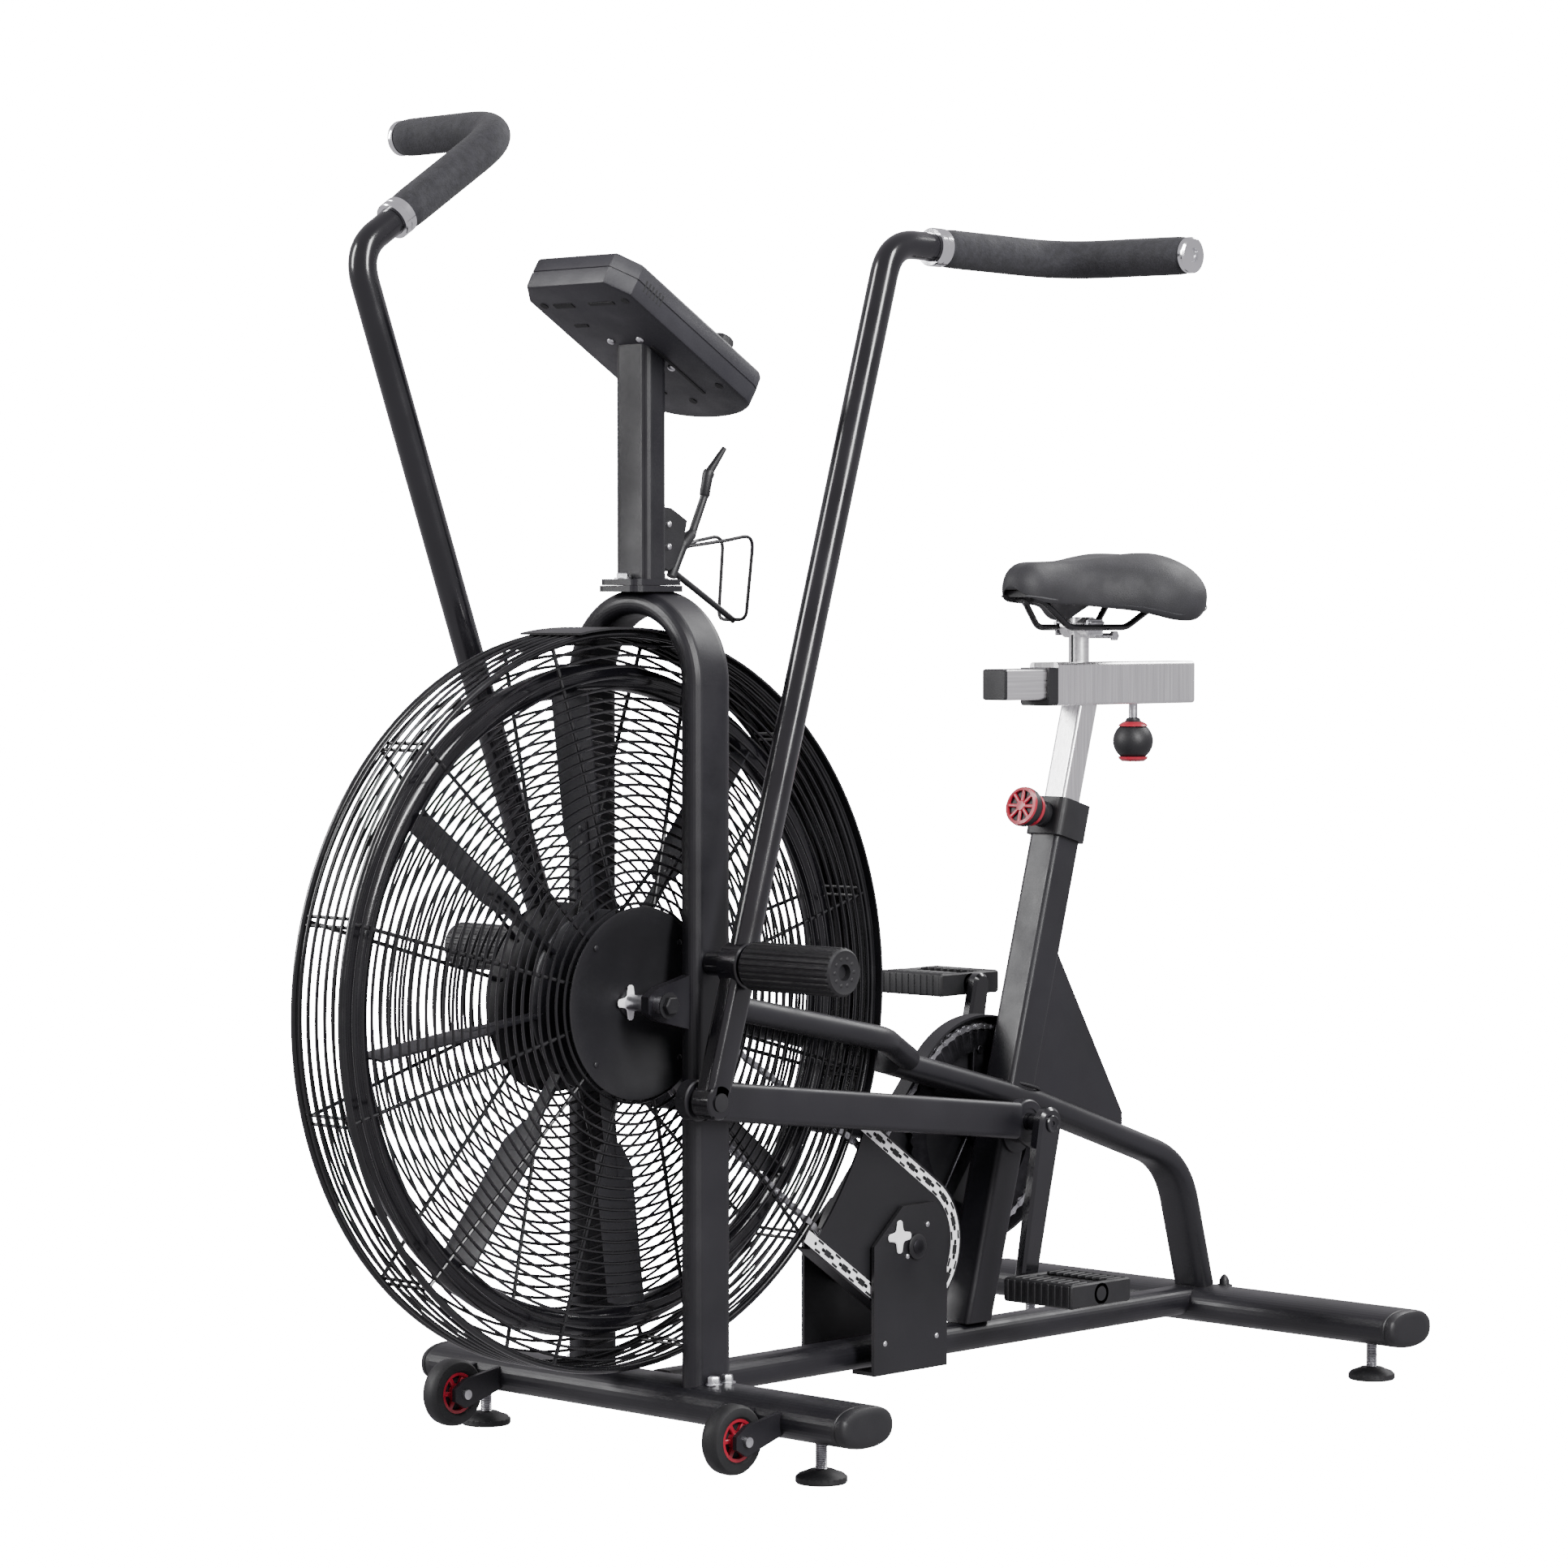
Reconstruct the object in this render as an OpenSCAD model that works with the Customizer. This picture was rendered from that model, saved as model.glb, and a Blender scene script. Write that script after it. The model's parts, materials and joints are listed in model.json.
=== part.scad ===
// Air bike: fan wheel in a wire cage, swinging arm levers, pedal cranks and an adjustable saddle.
// Millimetres. The front of the bike faces -Y, the rider's left is +X, and the floor is Z = 0.

/* [Base] */
// Length of each cross stabiliser, without its end caps
stabiliser_l = 560; // [480:5:640]
// Front-to-back width of a stabiliser tube
stabiliser_w = 74; // [60:1:90]
// Height of a stabiliser tube
stabiliser_h = 40; // [32:1:50]
// Height of the stabiliser centre lines above the floor
stabiliser_z = 59; // [55:1:65]
// Front stabiliser position
front_y = -230; // [-240:1:-220]
// Rear stabiliser position
rear_y = 620; // [600:1:640]
// Sideways position of the front feet
front_foot_x = 234; // [220:1:240]
// Sideways position of the rear feet
rear_foot_x = 242; // [220:1:250]
// Diameter of a levelling foot pad
foot_d = 50; // [40:1:60]

/* [Fan] */
// Fan axle position along the bike
fan_y = -297; // [-300:1:-294]
// Fan axle height
fan_z = 448; // [444:1:452]
// Outer radius of the wire cage
cage_r = 356; // [350:1:358]
// Half width of the cage at its rim
cage_half = 39; // [36:1:42]
// Half width of the cage at its centre plates
cage_hub_half = 57; // [54:1:59]
// Radius of the solid centre plates
disc_r = 93; // [85:1:100]
// Number of fan paddles
paddles = 8; // [6:1:12]
// Inner radius of the paddles
paddle_in = 143; // [120:1:180]
// Radius of the fan's outer hoop
hoop_r = 312; // [300:1:320]

/* [Fork and mast] */
// Sideways position of the fork legs
leg_x = 79; // [77:1:80]
// Thickness of a fork leg
leg_t = 24; // [18:1:24]
// Depth of a fork leg along the bike
leg_d = 54; // [44:1:54]
// Height where the fork legs turn into the crown
crown_z = 753; // [750:1:760]
// Top of the console mast
mast_top = 1090; // [1085:1:1100]

/* [Levers] */
// Height of the lever pivots
pivot_z = 485; // [480:1:490]
// Lever pivot position along the bike
pivot_y = -234; // [-238:1:-230]
// How far each lever leans from its middle position
lever_swing = 17; // [10:0.5:17.5]
// Length of a lever below its pivot
foot_arm = 134; // [125:1:140]
// Diameter of a lever tube
lever_d = 28; // [25:1:32]
// Diameter of the foam grips
grip_d = 38; // [34:1:42]

/* [Cranks] */
// Crank axis position along the bike
crank_y = 293; // [290:1:296]
// Crank axis height
crank_z = 275; // [272:1:280]
// Crank length, axis to pedal spindle
crank_l = 162; // [160:1:170]
// Angle of the left crank ahead of straight down
crank_lean = 25.7; // [20:0.1:30]
// Throw of the push rod pins
throw = 40; // [36:1:42]

/* [Saddle] */
// Lean of the seat tube behind the vertical
seat_lean = 15.7; // [14:0.1:17]
// Height of the saddle carriage's centre line
carriage_z = 746; // [735:1:755]
// Length of the saddle
saddle_l = 244; // [240:1:260]
// Width of the saddle at its rear
saddle_w = 200; // [180:1:220]

/* [Hidden] */
$fn = 48;

run_gap = 0.06;
foot_stem_r = 6;
stab_bottom = stabiliser_z - stabiliser_h / 2;
stab_top = stabiliser_z + stabiliser_h / 2;
leg_y = -229;
base_h = 30;
base_w = 40;
base_z = 64;
axle_r = 8;
lug_t = 10;
seat_tube_w = 40;
seat_tube_d = 40;
post_w = 29;
post_d = 29;
jack_y = 104;
jack_z = 175;
guard_in = 25;
guard_out = 44;
guard_t = 2.5;
web_in = 46;
web_out = 53;
rod_rear_x = 63;
rod_front_x = 108;
rod_t = 16;
arm_in = 88;
arm_out = 102;
pin_r = 9;
pedal_in = 106;
pedal_out = 198;
foot_pin_y = pivot_y - foot_arm * sin(lever_swing);
foot_pin_z = pivot_z - foot_arm * cos(lever_swing);
far_pin_y = pivot_y + foot_arm * sin(lever_swing);
lever_x = 131;
console_tilt = 31;
console_y = -229;
console_z = 1088;
console_l = 240;
console_w = 142;
console_h = 36;

black = "#232226";
dark = "#2f2e33";
silver = "#c9c9cc";
red = "#b3202a";

// Unit vector along v
function unit(v) = v / norm(v);
// Point on the seat tube's centre line at height z
function seat_point(z) = [0, crank_y + (z - crank_z) * tan(seat_lean), z];
// Outline of a rounded rectangle centred on the origin
function rounded(w, h, r, n = 7) = [
    for (c = [0 : 3], i = [0 : n])
        let (a = 90 * c + 90 * i / n,
             cx = (c == 0 || c == 3 ? 1 : -1) * (w / 2 - r),
             cy = (c < 2 ? 1 : -1) * (h / 2 - r))
        [cx + r * cos(a), cy + r * sin(a)]];
// Pin positions (y, z) of the left (side = 1) and right (side = -1) cranks
function crank_dir(side) = [0, -side * sin(crank_lean), -side * cos(crank_lean)];
function pin_dir(side) = [0, -side * cos(crank_lean), side * sin(crank_lean)];

// Turns a YZ outline into a solid between two X positions
module along_x(x0, x1) {
    translate([x0, 0, 0]) rotate([90, 0, 90]) linear_extrude(x1 - x0) children();
}
// Round bar between two X positions
module bar_x(x0, x1, y, z, r) {
    translate([x0, y, z]) rotate([0, 90, 0]) cylinder(h = x1 - x0, r = r);
}
// Places children so that their +Z runs from a towards b
module aim(a, b) {
    d = b - a;
    translate(a) rotate([0, acos(d.z / norm(d)), atan2(d.y, d.x)]) children();
}
// Round bar between two points
module bar(a, b, r) {
    aim(a, b) cylinder(h = norm(b - a), r = r);
}
// Points of a path whose inner corners are rounded by cutting them back and curving through
function smooth(p, br, n = 4) = [
    for (i = [0 : len(p) - 1])
        if (i == 0 || i == len(p) - 1) p[i]
        else let (u = unit(p[i] - p[i - 1]), v = unit(p[i + 1] - p[i]),
                  cut = br * tan(acos(u * v) / 2))
            for (k = [0 : 1 / n : 1]) (1 - k) * (1 - k) * (p[i] - u * cut)
                + 2 * k * (1 - k) * p[i] + k * k * (p[i] + v * cut)];
// Round tube through points, with its inner corners rounded to about radius br
module pipe(pts, r, br, n = 4) {
    p = smooth(pts, br, n);
    for (i = [0 : len(p) - 2]) bar(p[i], p[i + 1], r);
    for (i = [1 : len(p) - 2]) translate(p[i]) sphere(r = r * 1.012);
}
// Straight rounded-rectangle tube from a to b: w across, d in the plane of travel
module box_tube(a, b, w, d, r, t = 0) {
    aim(a, b) rotate([0, 0, -90]) linear_extrude(norm(b - a)) difference() {
        polygon(rounded(w, d, r));
        if (t > 0) polygon(rounded(w - 2 * t, d - 2 * t, r - t));
    }
}
// Mirrors children to the rider's right when side is -1
module on_side(side) {
    if (side == 1) children();
    else mirror([1, 0, 0]) children();
}

// Flattened oval outline of a stabiliser tube
function oval(w, h, n = 40) = [
    for (i = [0 : n - 1]) let (a = 360 * i / n, p = 0.83)
        [w / 2 * sign(cos(a)) * pow(abs(cos(a)), p), h / 2 * sign(sin(a)) * pow(abs(sin(a)), p)]];
// Full section of a cross stabiliser, as a cutter for what stands on it
module stabiliser_body(y, grow = 0) {
    translate([0, y, stabiliser_z]) along_x(-stabiliser_l / 2, stabiliser_l / 2)
        polygon(oval(stabiliser_w + 2 * grow, stabiliser_h + 2 * grow));
}
module stabiliser(y, foot_x) {
    difference() {
        stabiliser_body(y);
        translate([0, y, stabiliser_z]) along_x(-stabiliser_l, stabiliser_l)
            polygon(oval(stabiliser_w - 6, stabiliser_h - 6));
        for (s = [-1, 1]) translate([s * foot_x, y, stab_bottom - 1])
            cylinder(h = 10, r = foot_stem_r + run_gap);
    }
}
module front_stabiliser() {
    color(black) {
        stabiliser(front_y, front_foot_x);
        for (s = [-1, 1]) on_side(s) for (x = [wheel_x - 20, wheel_x + 15])
            along_x(x, x + 5) difference() {
                polygon([[front_y - 33, stabiliser_z + 10], [wheel_y, wheel_z + 15],
                    [wheel_y - 14, wheel_z + 6], [wheel_y - 14, wheel_z - 6],
                    [wheel_y, wheel_z - 14], [front_y - 33, stabiliser_z - 12]]);
                translate([wheel_y, wheel_z]) circle(r = 5 + run_gap);
            }
    }
}
module rear_stabiliser() {
    color(black) stabiliser(rear_y, rear_foot_x);
}
module stabiliser_caps() {
    cap = 16;
    step = cap / 4;
    color(dark) for (y = [front_y, rear_y], s = [-1, 1], i = [0 : 3]) {
        x0 = stabiliser_l / 2 + 0.05 + i * step;
        on_side(s) translate([0, y, stabiliser_z]) along_x(x0, x0 + step)
            polygon(oval(stabiliser_w - 1.6 * i * i, stabiliser_h - 1.3 * i * i));
    }
}
module base_tube() {
    color(black) difference() {
        translate([0, rear_y - 20, base_z]) rotate([90, 0, 0])
            linear_extrude(rear_y - front_y - 40) difference() {
                polygon(rounded(base_w, base_h, 14));
                polygon(rounded(base_w - 6, base_h - 6, 11));
            }
        for (y = [front_y, rear_y]) stabiliser_body(y, 0.1);
    }
}
module fork_leg(s) {
    color(black) on_side(s) {
        difference() {
            translate([leg_x, leg_y, stab_top - 8]) linear_extrude(crown_z - stab_top + 8)
            difference() {
                polygon(rounded(leg_t, leg_d, leg_t / 2 - 0.5));
                polygon(rounded(leg_t - 6, leg_d - 6, leg_t / 2 - 3.5));
            }
            stabiliser_body(front_y, 0.1);
        }
        // lug that carries the fan axle in front of the leg
        along_x(leg_x - lug_t / 2, leg_x + lug_t / 2) difference() {
            polygon([[leg_y - leg_d / 2 + 0.5, fan_z + 26], [fan_y, fan_z + 16],
                [fan_y - 14, fan_z + 8], [fan_y - 14, fan_z - 8], [fan_y, fan_z - 16],
                [leg_y - leg_d / 2 + 0.5, fan_z - 26]]);
            translate([fan_y, fan_z]) circle(r = axle_r);
        }
    }
}
module fork_crown() {
    color(black) translate([0, leg_y, crown_z + 0.01]) rotate([90, 0, 0])
        rotate_extrude(angle = 180, $fn = 96) translate([leg_x, 0]) difference() {
            polygon(rounded(leg_t, leg_d, leg_t / 2 - 0.5));
            polygon(rounded(leg_t - 6, leg_d - 6, leg_t / 2 - 3.5));
        }
    color(black) translate([0, mast_y, crown_z + leg_x + leg_t / 2 - 2])
        linear_extrude(6) polygon(rounded(58, 70, 12));
}
stay_start = [leg_x, leg_y + leg_d / 2 - 6, 442];
stay_bend = [72, 34, 393];
stay_end = [19, 126, 364];
stay_r = 12.5;
module stay(s) {
    color(black) on_side(s) difference() {
        pipe([stay_start, stay_bend, stay_end], stay_r, 26);
        translate([leg_x - 20, leg_y - 30, 400]) cube([40, 30 + leg_d / 2 + 0.1, 80]);
        top_tube_body(0.2);
    }
}
// Outline of a strip of width t along a YZ path
function across(p, i) =
    let (a = p[max(i - 1, 0)], b = p[min(i + 1, len(p) - 1)], d = (b - a) / norm(b - a))
    [-d.y, d.x];
function strip(p, t) = concat(
    [for (i = [0 : len(p) - 1]) p[i] + across(p, i) * t / 2],
    [for (i = [len(p) - 1 : -1 : 0]) p[i] - across(p, i) * t / 2]);
// YZ points of a smooth bend at b, from a towards c, of radius br
function bend_points(a, b, c, br, n = 10) =
    let (u = unit(b - a), v = unit(c - b), turn = acos(u * v), cut = br * tan(turn / 2))
    [for (i = [0 : n]) let (k = i / n)
        (1 - k) * (1 - k) * (b - u * cut) + 2 * k * (1 - k) * b + k * k * (b + v * cut)];
top_a = [112, 362];
top_m = [330, 305];
top_b = [578, 220];
top_c = [618, stab_top + 0.3];
top_w = 46;
top_h = 27;
module top_tube_body(grow = 0) {
    path = concat([top_a], bend_points(top_a, top_m, top_b, 120, 4),
        bend_points(top_m, top_b, top_c, 90), [top_c]);
    along_x(-top_w / 2 - grow, top_w / 2 + grow) polygon(strip(path, top_h + 2 * grow));
}
module top_tube() {
    color(black) difference() {
        top_tube_body();
        // the seat tube passes through
        seat_tube_body(0.15);
        stabiliser_body(rear_y, 0.1);
    }
}
seat_top_z = 606;
// Straight column along the seat tube's line between heights z0 and z1
module seat_column(z0, z1, w, d, r) {
    box_tube(seat_point(z0), seat_point(z1), w, d, r);
}
module seat_tube_body(grow = 0) {
    intersection() {
        seat_column(20, seat_top_z, seat_tube_w + 2 * grow, seat_tube_d + 2 * grow, 6);
        translate([-60, 0, base_z + base_h / 2 + 0.2]) cube([120, 600, 700]);
    }
    along_x(-15 - grow, 15 + grow) polygon([seat_yz(462), seat_yz(462) + [20, 0],
        [474, 282], [474, 268], seat_yz(290)]);
}
function seat_yz(z) = [seat_point(z).y, z];
module seat_tube() {
    color(black) difference() {
        union() {
            seat_tube_body();
            bar_x(-23, 23, crank_y, crank_z, 22);
        }
        seat_column(330, seat_top_z + 30, post_w + 1, post_d + 1, 4);
        bar_x(-30, 30, crank_y, crank_z, 10 + run_gap);
        pop_place() translate([0, 0, -30]) cylinder(h = 60, r = 5 + run_gap);
    }
}
collar_z0 = 581;
collar_z1 = 620;
module post_collar() {
    a = seat_point(collar_z0);
    b = seat_point(collar_z1);
    color(dark) difference() {
        box_tube(a, b, seat_tube_w + 9, seat_tube_d + 9, 9);
        box_tube(a - unit(b - a), seat_point(seat_top_z + 0.3), seat_tube_w + 0.3,
            seat_tube_d + 0.3, 6);
        seat_column(collar_z0, collar_z1 + 20, post_w + 1, post_d + 1, 4);
        pop_place() translate([0, 0, -30]) cylinder(h = 60, r = 5 + run_gap);
    }
}
// Frame of the spring pin on the collar's front face, +Z pulls the pin out
module pop_place() {
    c = seat_point((collar_z0 + collar_z1) / 2);
    translate(c) rotate([90 - seat_lean, 0, 0]) translate([0, 0, seat_tube_d / 2 + 7]) children();
}
module pop_pin() {
    color(red) pop_place() {
        translate([0, 0, -11.8]) cylinder(h = 13, r = 5);
        cylinder(h = 17, r = 14);
        translate([0, 0, 17]) cylinder(h = 4, r = 18);
        translate([0, 0, 21]) cylinder(h = 14, r = 22);
        translate([0, 0, 35]) cylinder(h = 3, r = 19);
    }
}
// Long rounded cover around two shafts: YZ centres a and b, radii ra and rb
module long_cover(a, b, ra, rb) {
    d = unit(b - a);
    n = [-d.y, d.x];
    lean = (ra - rb) / norm(b - a);
    up = n * sqrt(1 - lean * lean) + d * lean;
    down = -n * sqrt(1 - lean * lean) + d * lean;
    k = 0.999;
    polygon([a + up * ra * k, b + up * rb * k, b + down * rb * k, a + down * ra * k]);
    translate(a) circle(r = ra, $fn = 96);
    translate(b) circle(r = rb, $fn = 96);
}
module cover_shell(x_open, x_closed, a, b, ra, rb) {
    lo = min(x_open, x_closed);
    hi = max(x_open, x_closed);
    skin = x_closed > x_open ? hi - guard_t : lo;
    along_x(skin, skin + guard_t) long_cover(a, b, ra, rb);
    difference() {
        along_x(lo, hi) long_cover(a, b, ra, rb);
        along_x(lo - 1, hi + 1) long_cover(a, b, ra - guard_t, rb - guard_t);
    }
}
jack = [jack_y, jack_z];
crank = [crank_y, crank_z];
fan = [fan_y, fan_z];
module chain_guard() {
    color(dark) difference() {
        cover_shell(guard_in, guard_out, jack, fan, 76, 76);
        bar_x(0, 80, fan_y, fan_z, cage_r + 7);
        bar_x(0, 80, jack_y, jack_z, 9);
    }
}
module crank_guard() {
    color(dark) difference() {
        cover_shell(-guard_in, -guard_out, jack, crank, 48, 121);
        bar_x(-80, 0, crank_y, crank_z, 14);
        bar_x(-80, 0, jack_y, jack_z, 9);
    }
}
// Row of flat silver links along the edge of the chain guard's face
module chain_trim() {
    pitch = 17.5;
    r = 67;
    d = unit(fan - jack);
    n = [-d.y, d.x];
    upper = [for (i = [1 : 8]) jack - n * r + d * pitch * i];
    around = [for (i = [0 : 12]) let (a = atan2(n.y, n.x) + 15 * i)
        jack + [cos(a), sin(a)] * r];
    lower = [for (i = [1 : 7]) jack + n * r + d * pitch * i];
    color(silver) for (p = concat(upper, around, lower))
        bar_x(guard_out + 0.01, guard_out + 0.8, p.x, p.y, 7.2);
}
module jack_bracket() {
    color(dark) for (s = [-1, 1]) on_side(s) {
        difference() {
            along_x(47, 51) polygon([[41, 48], [151, 48], [151, 200], [134, 218], [84, 218],
                [41, 180]]);
            bar_x(40, 60, jack_y, jack_z, 8 + run_gap);
        }
        translate([base_w / 2 + 0.3, 41, 48]) cube([51 - base_w / 2 - 0.3, 110, 4]);
    }
}
module jackshaft() {
    color(silver) {
        bar_x(-56, 56, jack_y, jack_z, 8);
        bar_x(-36, -31, jack_y, jack_z, 36);
        bar_x(31, 36, jack_y, jack_z, 54);
    }
}
module chain_loop(x, a, b, ra, rb) {
    along_x(x - 4, x + 4) difference() {
        long_cover(a, b, ra + 4, rb + 4);
        long_cover(a, b, ra + 0.4, rb + 0.4);
    }
}
module drive_chains() {
    color(silver) {
        chain_loop(-33.5, jack, crank, 36, 106);
        chain_loop(33.5, jack, fan, 54, 30);
    }
}
// Corridor for the fan chain through the cage's rim
module chain_way() {
    along_x(27, 40) difference() {
        long_cover(jack, fan, 60, 37);
        long_cover(jack, fan, 50, 27);
    }
}
module fan_axle() {
    color(silver) bar_x(-leg_x - 14, leg_x + 14, fan_y, fan_z, axle_r - 0.02);
}
function cage_x(r) = cage_hub_half - (r - disc_r) * (cage_hub_half - cage_half) / (cage_r - disc_r);
// Wire face of the cage: flat rings stepped along a shallow cone, tied by spokes
module cage_face(s) {
    rings = 11;
    step = (cage_r - disc_r) / rings;
    color(black) difference() {
        on_side(s) {
            for (i = [1 : rings]) let (r = disc_r + i * step)
                translate([cage_x(r) - 2, fan_y, fan_z]) rotate([0, 90, 0])
                    rotate_extrude($fn = 120) translate([r - 3, 0]) square([3.5, 4]);
            for (a = [15 : 30 : 345]) translate([0, fan_y, fan_z]) rotate([a, 0, 0])
                translate([cage_x(disc_r), 0, disc_r + 1])
                rotate([0, -atan((cage_hub_half - cage_half) / (cage_r - disc_r)), 0])
                translate([-3.5, -2, 0]) cube([3, 4, cage_r - disc_r - 2]);
        }
        chain_way();
    }
}
module cage_rim() {
    color(black) difference() {
        union() {
            translate([-cage_half + 3, fan_y, fan_z]) rotate([0, 90, 0])
                for (i = [0 : 5]) translate([0, 0, i * (2 * cage_half - 10) / 5])
                    rotate_extrude($fn = 120) translate([cage_r - 1.7, 0]) square([3.4, 4]);
            translate([0, fan_y, fan_z]) for (a = [15 : 30 : 345]) rotate([a, 0, 0])
                translate([-cage_half + 2.3, -2, cage_r - 1]) cube([2 * cage_half - 4.6, 4, 2.2]);
        }
        chain_way();
    }
}
module cage_plates() {
    color(dark) for (s = [-1, 1]) on_side(s) difference() {
        bar_x(cage_hub_half - 2, cage_hub_half + 1.5, fan_y, fan_z, disc_r - 0.3);
        bar_x(0, 90, fan_y, fan_z, axle_r + 0.3);
    }
}
// Solid shield over the upper rear of the rim
module wind_guard() {
    color(dark) translate([-cage_half - 3, fan_y, fan_z]) rotate([0, 90, 0])
        rotate([0, 0, 70]) rotate_extrude(angle = 120, $fn = 160)
            translate([cage_r + 2, 0]) square([2, 2 * cage_half + 6]);
}
module fan_wheel() {
    color(black) {
        difference() {
            union() {
                bar_x(-29, 29, fan_y, fan_z, 34);
                bar_x(-3, 3, fan_y, fan_z, 88);
                bar_x(32, 35, fan_y, fan_z, 30);
                bar_x(28, 34, fan_y, fan_z, 20);
                for (i = [0 : paddles - 1]) translate([0, fan_y, fan_z])
                    rotate([i * 360 / paddles + 52, 0, 0]) {
                        translate([-25, -1.5, paddle_in])
                            cube([50, 3, hoop_r - paddle_in - 8]);
                        translate([-8, -2.5, 80]) cube([16, 5, paddle_in - 60]);
                    }
                translate([0, fan_y, fan_z]) rotate([0, 90, 0])
                    rotate_extrude($fn = 120) translate([hoop_r, 0]) circle(r = 13, $fn = 24);
            }
            bar_x(-60, 60, fan_y, fan_z, axle_r + run_gap);
        }
    }
}
module chainring() {
    color(silver) {
        bar_x(-web_in, web_in, crank_y, crank_z, 10);
        difference() {
            bar_x(-36, -31, crank_y, crank_z, 106);
            for (a = [0 : 72 : 288])
                bar_x(-40, -20, crank_y + 54 * sin(a), crank_z + 54 * cos(a), 27);
        }
    }
}
// Web, throw pin and pedal arm of one side, with the pedal spindle
module crank_side(s) {
    p = crank + [pin_dir(s).y, pin_dir(s).z] * throw;
    e = crank + [crank_dir(s).y, crank_dir(s).z] * crank_l;
    color(dark) {
        mirror([s == 1 ? 0 : 1, 0, 0]) {
            along_x(web_in + 0.01, web_out) long_cover(crank, p, 18, 16);
            bar_x(web_out, arm_in, p.x, p.y, pin_r);
            along_x(arm_in, arm_out) long_cover(p, e, 17, 12);
            bar_x(arm_out, pedal_out - 4, e.x, e.y, 6);
        }
    }
}
module pedal(s) {
    e = crank + [crank_dir(s).y, crank_dir(s).z] * crank_l;
    color(black) mirror([s == 1 ? 0 : 1, 0, 0]) difference() {
        union() {
            along_x(pedal_in, pedal_in + 8) translate(e) polygon(rounded(96, 26, 8));
            along_x(pedal_out - 8, pedal_out) translate(e) polygon(rounded(96, 26, 8));
            bar_x(pedal_in, pedal_out, e.x, e.y, 12);
            for (y = [-40, 32]) translate([pedal_in, e.x + y, e.y - 13])
                cube([pedal_out - pedal_in, 8, 26]);
        }
        bar_x(pedal_in - 1, pedal_out - 3, e.x, e.y, 6 + run_gap);
    }
}
// Push rod from the crank pin to the lever's foot
module push_rod(s) {
    p = crank + [pin_dir(s).y, pin_dir(s).z] * throw;
    front = s == 1 ? [foot_pin_y, foot_pin_z] : [far_pin_y, foot_pin_z];
    a = [rod_rear_x, p.x, p.y];
    b = [rod_front_x, front.x, front.y];
    u = unit(b - a);
    color(dark) mirror([s == 1 ? 0 : 1, 0, 0]) difference() {
        union() {
            box_tube(a + u * 16, b - u * 16, rod_t, 38, 6);
            bar_x(rod_rear_x - 8, rod_rear_x + 8, p.x, p.y, 23);
            bar_x(rod_front_x - 8, rod_front_x + 8, front.x, front.y, 20);
        }
        bar_x(0, 200, p.x, p.y, pin_r + run_gap);
    }
}
// Lever points in its middle position, measured from the pivot
lever_top = [153, -25, 722];
lever_grip = [161, 213, 789];
lever_end = [322, 217, 788];
// Moves lever parts to their rest place
module lever_place(s) {
    on_side(s) translate([0, pivot_y, pivot_z]) rotate([-s * lever_swing, 0, 0]) children();
}
module lever(s) {
    color(black) lever_place(s) difference() {
        union() {
            bar_x(119, 145, 0, 0, 22);
            box_tube([lever_x, 0, -15], [lever_x, 0, -foot_arm], 24, 30, 5);
            bar_x(119, 143, 0, -foot_arm, 17);
            pipe([[lever_x, 0, 10], lever_top, collar_at], lever_d / 2, 62);
        }
        bar_x(100, 160, 0, 0, 12 + run_gap);
    }
}
collar_at = lever_top + (lever_grip - lever_top) * 0.27;
module lever_trim(s) {
    u = unit(lever_grip - lever_top);
    v = unit(lever_end - lever_grip);
    color(silver) lever_place(s) {
        difference() {
            bar(collar_at - u * 11, collar_at + u * 5, grip_d / 2);
            bar(collar_at - u * 30, collar_at, lever_d / 2 + 0.02);
        }
        bar(lever_end + v * 0.1, lever_end + v * 8, grip_d / 2 - 1);
    }
}
module grip(s) {
    u = unit(lever_grip - lever_top);
    v = unit(lever_end - lever_grip);
    color(black) lever_place(s)
        pipe([collar_at + u * 5.1, lever_grip, lever_end - v * 0.1], grip_d / 2, 50, 1);
}
module foot_pegs() {
    color(black) for (s = [-1, 1]) on_side(s) {
        bar_x(leg_x + leg_t / 2 + 0.1, 152, pivot_y, pivot_z, 12);
        for (i = [0 : 5]) bar_x(149 + i * 20, 149 + i * 20 + 17, pivot_y, pivot_z, 23.5);
        bar_x(149, 268, pivot_y, pivot_z, 21.5);
    }
}
wheel_x = 195;
wheel_y = -311;
wheel_z = 46.5;
wheel_r = 33.5;
module wheel(s) {
    color(black) on_side(s) {
        difference() {
            bar_x(wheel_x - 11, wheel_x + 11, wheel_y, wheel_z, wheel_r);
            for (x = [wheel_x - 12, wheel_x + 7]) bar_x(x, x + 5, wheel_y, wheel_z, 21);
        }
        bar_x(wheel_x - 24, wheel_x + 24, wheel_y, wheel_z, 5);
    }
}
module foot(x, y) {
    color(dark) translate([x, y, 0]) {
        cylinder(h = 8, r = foot_d / 2);
        translate([0, 0, 8]) cylinder(h = 5, r1 = foot_d / 2, r2 = 12);
        cylinder(h = stab_bottom + 8, r = foot_stem_r);
    }
}
mast_y = leg_y - 9;
mast_foot = crown_z + leg_x + leg_t / 2 + 4.3;
module mast() {
    color(black) difference() {
        mast_body();
        above_console();
    }
}
module mast_body() {
    translate([0, mast_y, 0]) {
        translate([0, 0, mast_foot]) linear_extrude(6) polygon(rounded(54, 66, 10));
        translate([0, 0, mast_foot + 5]) linear_extrude(mast_top - mast_foot - 5) difference() {
            polygon(rounded(45, 30, 8));
            polygon(rounded(40, 25, 6));
        }
    }
}
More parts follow.
